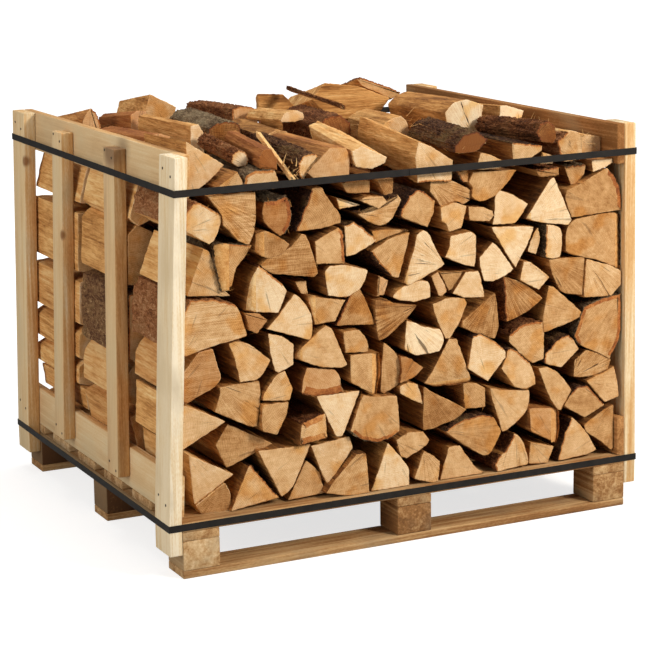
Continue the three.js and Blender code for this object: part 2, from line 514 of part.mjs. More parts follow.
// The nearest point to p on the edge from a to b.
function nearestOnEdge(a, b, p) {
  const edge = [b[0] - a[0], b[1] - a[1]];
  const length2 = edge[0] ** 2 + edge[1] ** 2 || 1;
  const along = ((p[0] - a[0]) * edge[0] + (p[1] - a[1]) * edge[1]) / length2;
  const share = THREE.MathUtils.clamp(along, 0, 1);
  return [a[0] + share * edge[0], a[1] + share * edge[1]];
}

// Whether a point lies within an outline, and not just under its edge.
function isInside(outline, [x, z]) {
  let inside = false;
  let depth = Infinity;
  outline.forEach(([bx, bz], i) => {
    const [ax, az] = outline.at(i - 1);
    if (az > z !== bz > z && x < ax + ((bx - ax) * (z - az)) / (bz - az)) inside = !inside;
    const edge = nearestOnEdge([ax, az], [bx, bz], [x, z]);
    depth = Math.min(depth, Math.hypot(edge[0] - x, edge[1] - z));
  });
  return inside && depth > BITE / 2;
}

// Where two outlines come nearest: the gap, the point on each, and the edge of the first it is on.
function nearestTouch(one, other) {
  let best = { gap: Infinity };
  const consider = (edge, on, to) => {
    const gap = Math.hypot(on[0] - to[0], on[1] - to[1]);
    if (gap < best.gap) best = { gap, edge, on, to };
  };
  one.forEach((b, i) => {
    const a = one.at(i - 1);
    for (const p of other) consider(i, nearestOnEdge(a, b, p), p);
    other.forEach((d, k) => consider(i, b, nearestOnEdge(other.at(k - 1), d, b)));
  });
  const overlaps = one.some((p) => isInside(other, p)) || other.some((p) => isInside(one, p));
  return overlaps ? { gap: 0 } : best;
}

// Presses the logs of a row together, as their weight does: the loose log nearest to the ones
// already joined gets a small bulge where it comes nearest, until it bites into its neighbour.
function pressTogether(outlines) {
  const joined = [outlines[0]];
  const loose = outlines.slice(1);
  while (loose.length) {
    let best = { gap: Infinity };
    loose.forEach((log, place) => {
      for (const neighbour of joined) {
        const touch = nearestTouch(log, neighbour);
        if (touch.gap < best.gap) best = { ...touch, place, neighbour };
      }
    });
    const [log] = loose.splice(best.place, 1);
    if (best.gap > 0) bulge(log, best);
    joined.push(log);
  }
  return joined;
}

function bulge(log, { gap, edge, on, to, neighbour }) {
  const middle = [0, 1].map((k) => neighbour.reduce((sum, p) => sum + p[k], 0) / neighbour.length);
  const [from, towards] = gap > 1 ? [on, to] : [to, middle];
  const reach = Math.hypot(towards[0] - from[0], towards[1] - from[1]);
  const tip = [0, 1].map((k) => to[k] + (BITE * (towards[k] - from[k])) / reach);
  const atCorner = Math.hypot(on[0] - log[edge][0], on[1] - log[edge][1]) < 1;
  log.splice(edge, atCorner ? 1 : 0, tip);
}

// A log: its end outline in X and Z, carried back along Y, with the back end moved by a shift.
function logGeometry(outline, front, back, shift = [0, 0]) {
  const shape = new THREE.Shape(outline.map(([x, z]) => new THREE.Vector2(x, z)));
  const geometry = new THREE.ExtrudeGeometry(shape, { depth: back - front, bevelEnabled: false });
  geometry.rotateX(Math.PI / 2);
  geometry.translate(0, back, 0);
  const position = geometry.getAttribute("position");
  for (let i = 0; i < position.count; i++) {
    const share = (position.getY(i) - front) / (back - front);
    position.setX(i, position.getX(i) + share * shift[0]);
    position.setZ(i, position.getZ(i) + share * shift[1]);
  }
  geometry.deleteAttribute("normal");
  geometry.deleteAttribute("uv");
  return geometry;
}

function toSolid(geometry) {
  const merged = mergeVertices(geometry);
  return new wasm.Manifold(
    new wasm.Mesh({
      numProp: 3,
      vertProperties: merged.getAttribute("position").array,
      triVerts: new Uint32Array(merged.getIndex().array),
    }),
  );
}

function toGeometry(solid) {
  const { numProp, vertProperties, triVerts } = solid.getMesh();
  const points = [];
  for (let i = 0; i < vertProperties.length; i += numProp) {
    points.push(...vertProperties.subarray(i, i + 3));
  }
  const geometry = new THREE.BufferGeometry();
  geometry.setAttribute("position", new THREE.Float32BufferAttribute(points, 3));
  geometry.setIndex([...triVerts]);
  return geometry;
}

// Joins the logs of a row. No two ends lie in one plane, so each log's end still shows.
function rowSolid(outlines, row, setbacks) {
  return outlines
    .map((outline, i) => {
      const front = row.front + (setbacks ? setbacks[i] : END_UNEVEN * Math.sin(2.4 * i));
      return toSolid(logGeometry(outline, front, row.back + END_UNEVEN * Math.sin(1.7 * i)));
    })
    .reduce((row, log) => row.add(log));
}

// Keeps corners that were drawn on the same spot a hair apart.
function nudged([x, z], i, k) {
  return [x + NUDGE * Math.sin(7 * i + 3 * k), z + NUDGE * Math.cos(5 * i + 4 * k)];
}

// An outline kept between the panels, without the corners that this brings together.
function fitted(outline, i, row) {
  return outline
    .map((corner, k) => insideBay(nudged(corner, i, k), row.front))
    .filter(([x, z], k, all) => Math.hypot(x - all.at(k - 1)[0], z - all.at(k - 1)[1]) > LEAST_EDGE);
}

function frontRow() {
  const depths = new Map();
  const outlines = FRONT_LOGS.map(([setback, ...corners], i) => {
    const depth = setback + END_UNEVEN * 0.5 * (1 + Math.sin(2.4 * i));
    const placed = corners.map((corner) => setBack(corner, depth));
    const outline = fitted(simplified(placed, FRONT_DETAIL), i, FRONT_ROW);
    depths.set(outline, depth);
    return outline;
  });
  const pressed = pressTogether(outlines);
  return rowSolid(pressed, FRONT_ROW, pressed.map((outline) => depths.get(outline)));
}

// A row behind the front one: the same kinds of log in other places, moved by a function, without
// the smallest splits, and with the logs at the left end given.
function rearRow(leftLogs, row, move) {
  const moved = FRONT_LOGS.map(([, ...corners]) => simplified(corners.map(move), REAR_DETAIL));
  const isKept = (outline) => {
    const middle = outline.reduce((sum, [x]) => sum + x, 0) / outline.length;
    const area = Math.abs(THREE.ShapeUtils.area(outline.map(([x, y]) => ({ x, y }))));
    const top = Math.max(...outline.map(([, z]) => z));
    return middle > LEFT_LOGS_EDGE && area > LEAST_REAR_END && top < REAR_TOP;
  };
  const outlines = [...leftLogs, ...moved.filter(isKept)].map((log, i) => fitted(log, i, row));
  return rowSolid(pressTogether(outlines), row);
}

// Sways a corner sideways and up, less towards the side panels.
function sway([x, z], across, up) {
  const free = 1 - (x / (PALLET_WIDE / 2)) ** 2;
  const lift = up * free * (z / POST_TOP);
  return [x + across * free * Math.sin(z / SWAY_HIGH), z + lift * Math.sin(x / SWAY_WIDE)];
}

const middleMove = ([x, z]) => sway([-x, z], 30, 20);
const backMove = ([x, z]) => sway([x, z], -45, -25);

const rows = {
  front_row_logs: frontRow(),
  middle_row_logs: rearRow(MIDDLE_LEFT_LOGS, MIDDLE_ROW, middleMove),
  back_row_logs: rearRow(BACK_LEFT_LOGS, BACK_ROW, backMove),
};

// A log with its top as given, and its underside as low as it can hang clear of the pile, or
// pressed into it.
function settle({ end, ends, shift, row, hang = HANG_MOST }, pile) {
  const waist = end.reduce((sum, [, z]) => sum + z, 0) / end.length;
  const hanging = (share, press) => {
    const lower = (z) => waist - (waist - z) * share - press;
    const corners = end.map(([x, z]) => [x, z < waist ? lower(z) : z]);
    return logGeometry(corners, ...ends, shift);
  };
  let clear = 0;
  let touching = hang;
  while (touching - clear > HANG_STEP) {
    const share = (clear + touching) / 2;
    if (toSolid(hanging(share, 0)).intersect(pile).volume() > 0) touching = share;
    else clear = share;
  }
  return row ? hanging(clear, BITE) : hanging(clear, 0).translate(0, 0, CONTACT_GAP);
}

const bundle = new THREE.Group();
bundle.add(pallet(), sidePanel("left"), sidePanel("right"));
bundle.add(strap("strap_lower", LOWER_STRAP_Z, 0), strap("strap_upper", UPPER_STRAP_Z, UPPER_STRAP_DIP));

let pile = Object.values(rows).reduce((all, row) => all.add(row));
for (const log of TOP_LOGS) {
  const settled = settle(log, pile);
  pile = pile.add(toSolid(settled));
  if (log.row) rows[log.row] = rows[log.row].add(toSolid(settled));
  else bundle.add(mesh(log.name, mergeVertices(settled), log.colour));
}
for (const [name, solid] of Object.entries(rows)) bundle.add(mesh(name, toGeometry(solid), "paleSplit"));

export default bundle;
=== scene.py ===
# A firewood bundle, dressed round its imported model: split logs in three rows on a wooden pallet,
# held between two slatted side panels and tied round with two plastic straps. Metres, +Z up.

import math

import bpy
import bmesh
import numpy as np
from mathutils import Matrix, Vector


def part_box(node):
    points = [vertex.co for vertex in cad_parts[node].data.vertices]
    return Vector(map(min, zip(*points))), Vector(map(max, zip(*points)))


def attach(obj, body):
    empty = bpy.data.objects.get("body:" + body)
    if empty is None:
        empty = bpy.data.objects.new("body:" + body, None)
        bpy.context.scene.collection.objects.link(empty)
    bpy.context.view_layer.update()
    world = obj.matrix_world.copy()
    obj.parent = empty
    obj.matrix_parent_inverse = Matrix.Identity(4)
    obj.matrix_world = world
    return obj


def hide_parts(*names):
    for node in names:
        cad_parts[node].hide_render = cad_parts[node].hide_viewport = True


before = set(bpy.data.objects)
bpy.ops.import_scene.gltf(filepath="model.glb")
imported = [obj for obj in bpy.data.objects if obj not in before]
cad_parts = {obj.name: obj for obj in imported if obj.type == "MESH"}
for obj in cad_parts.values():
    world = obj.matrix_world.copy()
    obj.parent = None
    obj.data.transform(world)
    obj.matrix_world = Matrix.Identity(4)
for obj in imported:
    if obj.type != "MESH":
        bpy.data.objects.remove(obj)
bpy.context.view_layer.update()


# Studio: a white floor and a camera a little above the load, to its left, with a long lens.
# A broad key light stands in front at the right, a weaker one fills the left side, and one hangs above.

MM = 0.001
EYE = Vector((-2335, -4825, 1609)) * MM
TURN, DIP, ROLL = math.radians(26.13), math.radians(12.45), math.radians(-0.72)
FOCAL_PX, FRAME_PX, SENSOR = 2125, 650, 36
FLOOR_SIDE = 60
PAPER_WHITE = "#b9b8b6"
PAPER_NEAR, PAPER_FAR = 1.2, 3.0
KEY_LIGHT = {"place": (2.6, -4.4, 3.6), "size": 1.3, "watts": 292, "colour": "#fff6ea"}
FILL_LIGHT = {"place": (-4.8, -1.2, 2.4), "size": 3.0, "watts": 112, "colour": "#fffaf4"}
TOP_LIGHT = {"place": (0.3, 0.6, 5.2), "size": 3.0, "watts": 112, "colour": "#ffffff"}
ROOM_GLOW = 0.24
FLOOR_GLOW = 0.72


def linear(code):
    """An sRGB hex colour as linear red, green, blue and alpha."""
    channels = [int(code[i:i + 2], 16) / 255 for i in (1, 3, 5)]
    return [c / 12.92 if c <= 0.04045 else ((c + 0.055) / 1.055) ** 2.4 for c in channels] + [1]


def add(tree, kind, sockets=None, stops=None, **settings):
    """Adds a node, with its settings, its sockets' values or links, and a ramp's stops."""
    made = tree.nodes.new(kind)
    for key, value in settings.items():
        setattr(made, key, value)
    for key, value in (sockets or {}).items():
        if isinstance(value, bpy.types.NodeSocket):
            tree.links.new(value, made.inputs[key])
        else:
            made.inputs[key].default_value = value
    if stops:
        ramp = made.color_ramp.elements
        while len(ramp) < len(stops):
            ramp.new(0.5)
        for stop, (place, code) in zip(ramp, stops):
            stop.position = place
            stop.color = linear(code)
    return made


def new_material(name):
    """A material with an empty tree but for its shader, which the caller wires up."""
    material = bpy.data.materials.new(name)
    material.use_nodes = True
    return material, material.node_tree, material.node_tree.nodes["Principled BSDF"]


def alone(piece=None):
    """Selects one object and nothing else, as the operators need."""
    bpy.ops.object.select_all(action="DESELECT")
    if piece:
        piece.select_set(True)
        bpy.context.view_layer.objects.active = piece


def studio_light(name, place, size, watts, colour):
    lamp = bpy.data.lights.new(name, "AREA")
    lamp.size, lamp.energy = size, watts
    lamp.color = linear(colour)[:3]
    light = bpy.data.objects.new(name, lamp)
    bpy.context.scene.collection.objects.link(light)
    aim = Vector((0, 0, 0.5)) - Vector(place)
    light.location = place
    light.rotation_euler = aim.to_track_quat("-Z", "Y").to_euler()


studio_light("key", **KEY_LIGHT)
studio_light("fill", **FILL_LIGHT)
studio_light("top", **TOP_LIGHT)
world = bpy.data.worlds.new("room")
bpy.context.scene.world = world
world.use_nodes = True
room = world.node_tree
glow = room.nodes["Background"]
glow.inputs["Color"].default_value = linear("#ffffff")
glow.inputs["Strength"].default_value = ROOM_GLOW
white = add(room, "ShaderNodeBackground", {"Color": linear("#ffffff"), "Strength": 1.0})
seen = add(room, "ShaderNodeLightPath").outputs["Is Camera Ray"]
backdrop = add(room, "ShaderNodeMixShader", {0: seen, 1: glow.outputs[0], 2: white.outputs[0]})
room.links.new(backdrop.outputs[0], room.nodes["World Output"].inputs["Surface"])
bpy.context.scene.view_settings.view_transform = "Standard"

# The camera's axes: forward, dipped and turned to the load, then rolled about the line of sight
forward = Vector((math.sin(TURN) * math.cos(DIP), math.cos(TURN) * math.cos(DIP), -math.sin(DIP)))
level = Vector((math.cos(TURN), -math.sin(TURN), 0))
upright = level.cross(forward)
right = math.cos(ROLL) * level + math.sin(ROLL) * upright
up = math.cos(ROLL) * upright - math.sin(ROLL) * level
camera = bpy.data.objects.new("camera", bpy.data.cameras.new("camera"))
bpy.context.scene.collection.objects.link(camera)
camera.data.sensor_width = SENSOR
camera.data.lens = FOCAL_PX / FRAME_PX * SENSOR
camera.data.clip_end = 200
camera.matrix_world = Matrix.Translation(EYE) @ Matrix((right, up, -forward)).transposed().to_4x4()
bpy.context.scene.camera = camera

alone()
bpy.ops.mesh.primitive_plane_add(size=FLOOR_SIDE, location=(0, 0, 0))
floor = bpy.context.object
floor.name = "floor"
paper, tree, shader = new_material("white studio paper")
shader.inputs["Base Color"].default_value = linear(PAPER_WHITE)
shader.inputs["Roughness"].default_value = 0.9
shader.inputs["Emission Color"].default_value = linear("#ffffff")
# The paper is lit from below for the camera only, and more so away from the load
far = add(tree, "ShaderNodeVectorMath", {0: add(tree, "ShaderNodeTexCoord").outputs["Object"]},
          operation="LENGTH").outputs["Value"]
lift = add(tree, "ShaderNodeMapRange", {"Value": far, "From Min": PAPER_NEAR, "From Max": PAPER_FAR,
                                        "To Min": FLOOR_GLOW, "To Max": 1.0}).outputs[0]
seen = add(tree, "ShaderNodeLightPath").outputs["Is Camera Ray"]
shown = add(tree, "ShaderNodeMath", {0: lift, 1: seen}, operation="MULTIPLY").outputs[0]
tree.links.new(shown, shader.inputs["Emission Strength"])
floor.data.materials.append(paper)


# Pallet: skids, blocks, stringers and deck boards of rough sawn softwood, nailed together.
# The saw leaves fine marks along the faces, and the arrises are a little broken by handling.

ARRIS = 2.2
BOARD_SEED = 7
GRAIN_ACROSS, GRAIN_ALONG = 5, 190
FIGURE_ACROSS, FIGURE_ALONG = 22, 700
STAIN_SIZE = 90
SPECK_ACROSS, SPECK_ALONG = 2.2, 8
SAWN_RELIEF = 0.8
WET_FROM, WET_TO = 0.52, 0.72
FADED_LEAST, FADED_BY_STAIN = 0.3, 0.8
KNOT_HEART, KNOT_RIM, KNOT_DARKEST = 0.55, 1.6, 0.8
WEATHERING = 0.85
BOARDS_APART, BOARDS_DIFFER = 7.0, 0.05
draw = np.random.default_rng(BOARD_SEED)


def mark(piece, name, values):
    """Gives each vertex of a piece a vector that its material reads, or all the same one."""
    layer = piece.data.attributes.new(name, "FLOAT_VECTOR", "POINT")
    table = np.broadcast_to(np.asarray(values, np.float32), (len(piece.data.vertices), 3))
    layer.data.foreach_set("vector", np.ascontiguousarray(table).ravel())


def streaks(tree, vector, across, along, axis, detail=3.0, distortion=0.0):
    """A noise drawn out along one axis, with streaks of a width and length in millimetres."""
    scale = [1 / (across * MM)] * 3
    scale["XYZ".index(axis)] = 1 / (along * MM)
    stretched = add(tree, "ShaderNodeMapping", {"Vector": vector, "Scale": scale})
    sockets = {"Vector": stretched.outputs["Vector"], "Scale": 1.0, "Detail": detail,
               "Distortion": distortion}
    return add(tree, "ShaderNodeTexNoise", sockets).outputs["Fac"]


def blend_values(tree, parts, start=0.0):
    """Adds up noises, each less its middle and times its weight."""
    total = start
    for socket, weight in parts:
        step = add(tree, "ShaderNodeMath", {0: socket, 1: weight, 2: -weight / 2},
                   operation="MULTIPLY_ADD")
        total = add(tree, "ShaderNodeMath", {0: step.outputs[0], 1: total}, operation="ADD").outputs[0]
    return total


def sawn_softwood(name, axis, stops, stain, weathered, knots=()):
    """Rough sawn pine or spruce: streaks along the board, faint figure, grey stains and knots."""
    material, tree, shader = new_material(name)
    place = add(tree, "ShaderNodeTexCoord").outputs["Object"]
    tone = add(tree, "ShaderNodeSeparateXYZ",
               {0: add(tree, "ShaderNodeAttribute", attribute_name="tone").outputs["Vector"]})
    apart = add(tree, "ShaderNodeMath", {0: tone.outputs["Z"], 1: BOARDS_APART}, operation="MULTIPLY")
    offset = add(tree, "ShaderNodeCombineXYZ",
                 {"X": apart.outputs[0], "Y": apart.outputs[0], "Z": apart.outputs[0]})
    moved = add(tree, "ShaderNodeVectorMath", {0: place, 1: offset.outputs[0]}, operation="ADD")
    vector = moved.outputs[0]
    grain = streaks(tree, vector, GRAIN_ACROSS, GRAIN_ALONG, axis)
    figure = streaks(tree, vector, FIGURE_ACROSS, FIGURE_ALONG, axis, 4.0, 0.6)
    blotch = streaks(tree, vector, STAIN_SIZE, STAIN_SIZE * 2, axis, 4.0)
    speck = streaks(tree, vector, SPECK_ACROSS, SPECK_ALONG, axis, 2.0)
    light = blend_values(tree, [(grain, 0.65), (figure, 0.85), (blotch, 0.5), (speck, 0.35),
                                (tone.outputs["X"], 1.0)], 0.55)
    wood = add(tree, "ShaderNodeValToRGB", {"Fac": light}, stops=stops)
    dirt = add(tree, "ShaderNodeMapRange", {"Value": blotch, "From Min": WET_FROM, "From Max": WET_TO,
                                            "To Max": stain[1]})
    colour = add(tree, "ShaderNodeMix",
                 {0: dirt.outputs[0], 6: wood.outputs["Color"], 7: linear(stain[0])},
                 data_type="RGBA").outputs[2]
    faded = add(tree, "ShaderNodeMath", {0: blotch, 1: FADED_BY_STAIN, 2: FADED_LEAST},
                operation="MULTIPLY_ADD").outputs[0]
    aged = add(tree, "ShaderNodeMath", {0: tone.outputs["Y"], 1: faded}, operation="MULTIPLY").outputs[0]
    colour = add(tree, "ShaderNodeMix", {0: aged, 6: colour, 7: linear(weathered)},
                 data_type="RGBA").outputs[2]
    for knot_place, knot_size, knot_colour in knots:
        centre = add(tree, "ShaderNodeVectorMath", {0: place, 1: Vector(knot_place) * MM},
                     operation="SUBTRACT").outputs[0]
        far = add(tree, "ShaderNodeVectorMath", {0: centre}, operation="LENGTH").outputs["Value"]
        reach = {"From Min": knot_size * KNOT_HEART * MM, "From Max": knot_size * KNOT_RIM * MM}
        ring = add(tree, "ShaderNodeMapRange", {"Value": far, **reach, "To Min": KNOT_DARKEST, "To Max": 0.0},
                   interpolation_type="SMOOTHSTEP").outputs[0]
        colour = add(tree, "ShaderNodeMix", {0: ring, 6: colour, 7: linear(knot_colour)},
                     data_type="RGBA").outputs[2]
    tree.links.new(colour, shader.inputs["Base Color"])
    relief = add(tree, "ShaderNodeMath", {0: grain, 1: speck}, operation="ADD")
    bump = add(tree, "ShaderNodeBump", {"Height": relief.outputs[0], "Strength": 0.5,
                                        "Distance": SAWN_RELIEF * MM})
    tree.links.new(bump.outputs["Normal"], shader.inputs["Normal"])
    shader.inputs["Roughness"].default_value = 0.78
    shader.inputs["Specular IOR Level"].default_value = 0.25
    return material


def board(node, material, shade=0.0):
    """Dresses a board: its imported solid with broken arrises, in a wood with its own grain."""
    piece = bpy.data.objects.new(node + "_sawn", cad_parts[node].data.copy())
    bpy.context.scene.collection.objects.link(piece)
    alone(piece)
    bpy.ops.object.mode_set(mode="EDIT")
    bpy.ops.mesh.select_all(action="SELECT")
    bpy.ops.mesh.remove_doubles(threshold=0.01 * MM)
    bpy.ops.mesh.dissolve_limited(angle_limit=math.radians(1))
    bpy.ops.object.mode_set(mode="OBJECT")
    arris = piece.modifiers.new("arris", "BEVEL")
    arris.width = ARRIS * MM
    arris.segments = 2
    arris.limit_method = "ANGLE"
    arris.angle_limit = math.radians(40)
    bpy.ops.object.modifier_apply(modifier=arris.name)
    bpy.ops.object.shade_smooth_by_angle(angle=math.radians(30))
    tone = np.zeros((len(piece.data.vertices), 3))
    tone[:] = (shade + 0.5 + BOARDS_DIFFER * draw.standard_normal(), 0.0, draw.random())
    outside = -1 if "left" in node else 1
    for face in piece.data.polygons:
        if face.normal.x * outside > 0.9:
            tone[list(face.vertices), 1] = WEATHERING
    mark(piece, "tone", tone)
    piece.data.materials.clear()
    piece.data.materials.append(material)
    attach(piece, "root")
    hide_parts(node)
    return piece


# Weathered pallet wood, left outside: tan, with brown and grey where it got wet
PALLET_STOPS = [(0.0, "#5a3a1f"), (0.35, "#94683c"), (0.6, "#c09a6a"), (1.0, "#e2c9a0")]
PALLET_STAIN, PALLET_FADED = ("#5d4c3c", 0.5), "#8d7454"
pallet_wood = {axis: sawn_softwood("rough sawn pallet pine along " + axis, axis, PALLET_STOPS, PALLET_STAIN,
                                   PALLET_FADED)
               for axis in "XY"}
BLOCK_SHADES = {"front_left": 0.16, "front_middle": -0.22, "front_right": -0.05, "middle_left": -0.6,
                "back_left": -0.6, "middle_middle": -0.4}
for line in ("front", "middle", "back"):
    board("skid_" + line, pallet_wood["X"], -0.05)
    for column in ("left", "middle", "right"):
        spot = line + "_" + column
        board("block_" + spot, pallet_wood["Y"], BLOCK_SHADES.get(spot, -0.1))
for column in ("left", "middle", "right"):
    board("stringer_" + column, pallet_wood["Y"])
for number in range(1, 7):
    board(f"deck_board_{number}", pallet_wood["X"], 0.05)


# Side panels: corner posts and slats outside, two rails inside them, of planed pale spruce.
# They were nailed up flat, stood on the pallet's sides and pulled in at the top by the strap.

PANEL_STOPS = [(0.0, "#8a5a2c"), (0.3, "#ba8650"), (0.55, "#d4a870"), (0.8, "#e6cda2"), (1.0, "#f6ead0")]
PANEL_STAIN, PANEL_FADED = ("#a08a66", 0.5), "#dac298"
# Two knots, and a brown stain on the near slat's top: place, size and colour
SLAT_KNOTS = [((-616, 172, 690), 11, "#7c4a22"), ((-610, 452, 842), 12, "#7c4a22"),
              ((-610, -160, 944), 44, "#73563c")]
panel_wood = {axis: sawn_softwood("planed pale spruce along " + axis, axis, PANEL_STOPS, PANEL_STAIN,
                                  PANEL_FADED, SLAT_KNOTS)
              for axis in "YZ"}
PANEL_SHADES = {"post_left_front": 0.38, "post_right_front": 0.14, "post_left_back": 0.05,
                "slat_left_1": -0.04, "slat_left_2": 0.0, "rail_right_upper": -0.42,
                "rail_right_lower": -0.3, "rail_left_lower": -0.05}
for side in ("left", "right"):
    for upright_name in (f"post_{side}_front", f"post_{side}_back", f"slat_{side}_1", f"slat_{side}_2"):
        board(upright_name, panel_wood["Z"], PANEL_SHADES.get(upright_name, 0.05))
    for rail in (f"rail_{side}_lower", f"rail_{side}_upper"):
        board(rail, panel_wood["Y"], PANEL_SHADES.get(rail, 0.0))


# Straps: embossed polypropylene band, pulled tight round the posts and welded to itself.
# It is moulded in a dark grey, and its embossing leaves a fine, half matt sheen.

SCUFF_SIZE, EMBOSS_SIZE, EMBOSS_DEPTH = 30, 2.4, 0.3
strapping, tree, shader = new_material("embossed black polypropylene band")
place = add(tree, "ShaderNodeTexCoord").outputs["Object"]
scuff = streaks(tree, place, SCUFF_SIZE, SCUFF_SIZE, "Z", 4.0)
tint = add(tree, "ShaderNodeValToRGB", {"Fac": scuff}, stops=[(0.3, "#100e0d"), (0.7, "#211d1a")])
tree.links.new(tint.outputs["Color"], shader.inputs["Base Color"])
emboss = add(tree, "ShaderNodeTexVoronoi", {"Vector": place, "Scale": 1 / (EMBOSS_SIZE * MM)})
bump = add(tree, "ShaderNodeBump", {"Height": emboss.outputs["Distance"], "Strength": 0.4,
                                    "Distance": EMBOSS_DEPTH * MM})
tree.links.new(bump.outputs["Normal"], shader.inputs["Normal"])
shader.inputs["Roughness"].default_value = 0.55
shader.inputs["Specular IOR Level"].default_value = 0.3
for strap in ("strap_lower", "strap_upper"):
    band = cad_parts[strap]
    band.data.materials.clear()
    band.data.materials.append(strapping)


# Front row: split logs, all lying front to back, with their sawn ends to the front.
# A round log was sawn to stove length and split: flat split faces, and bark on the round side.

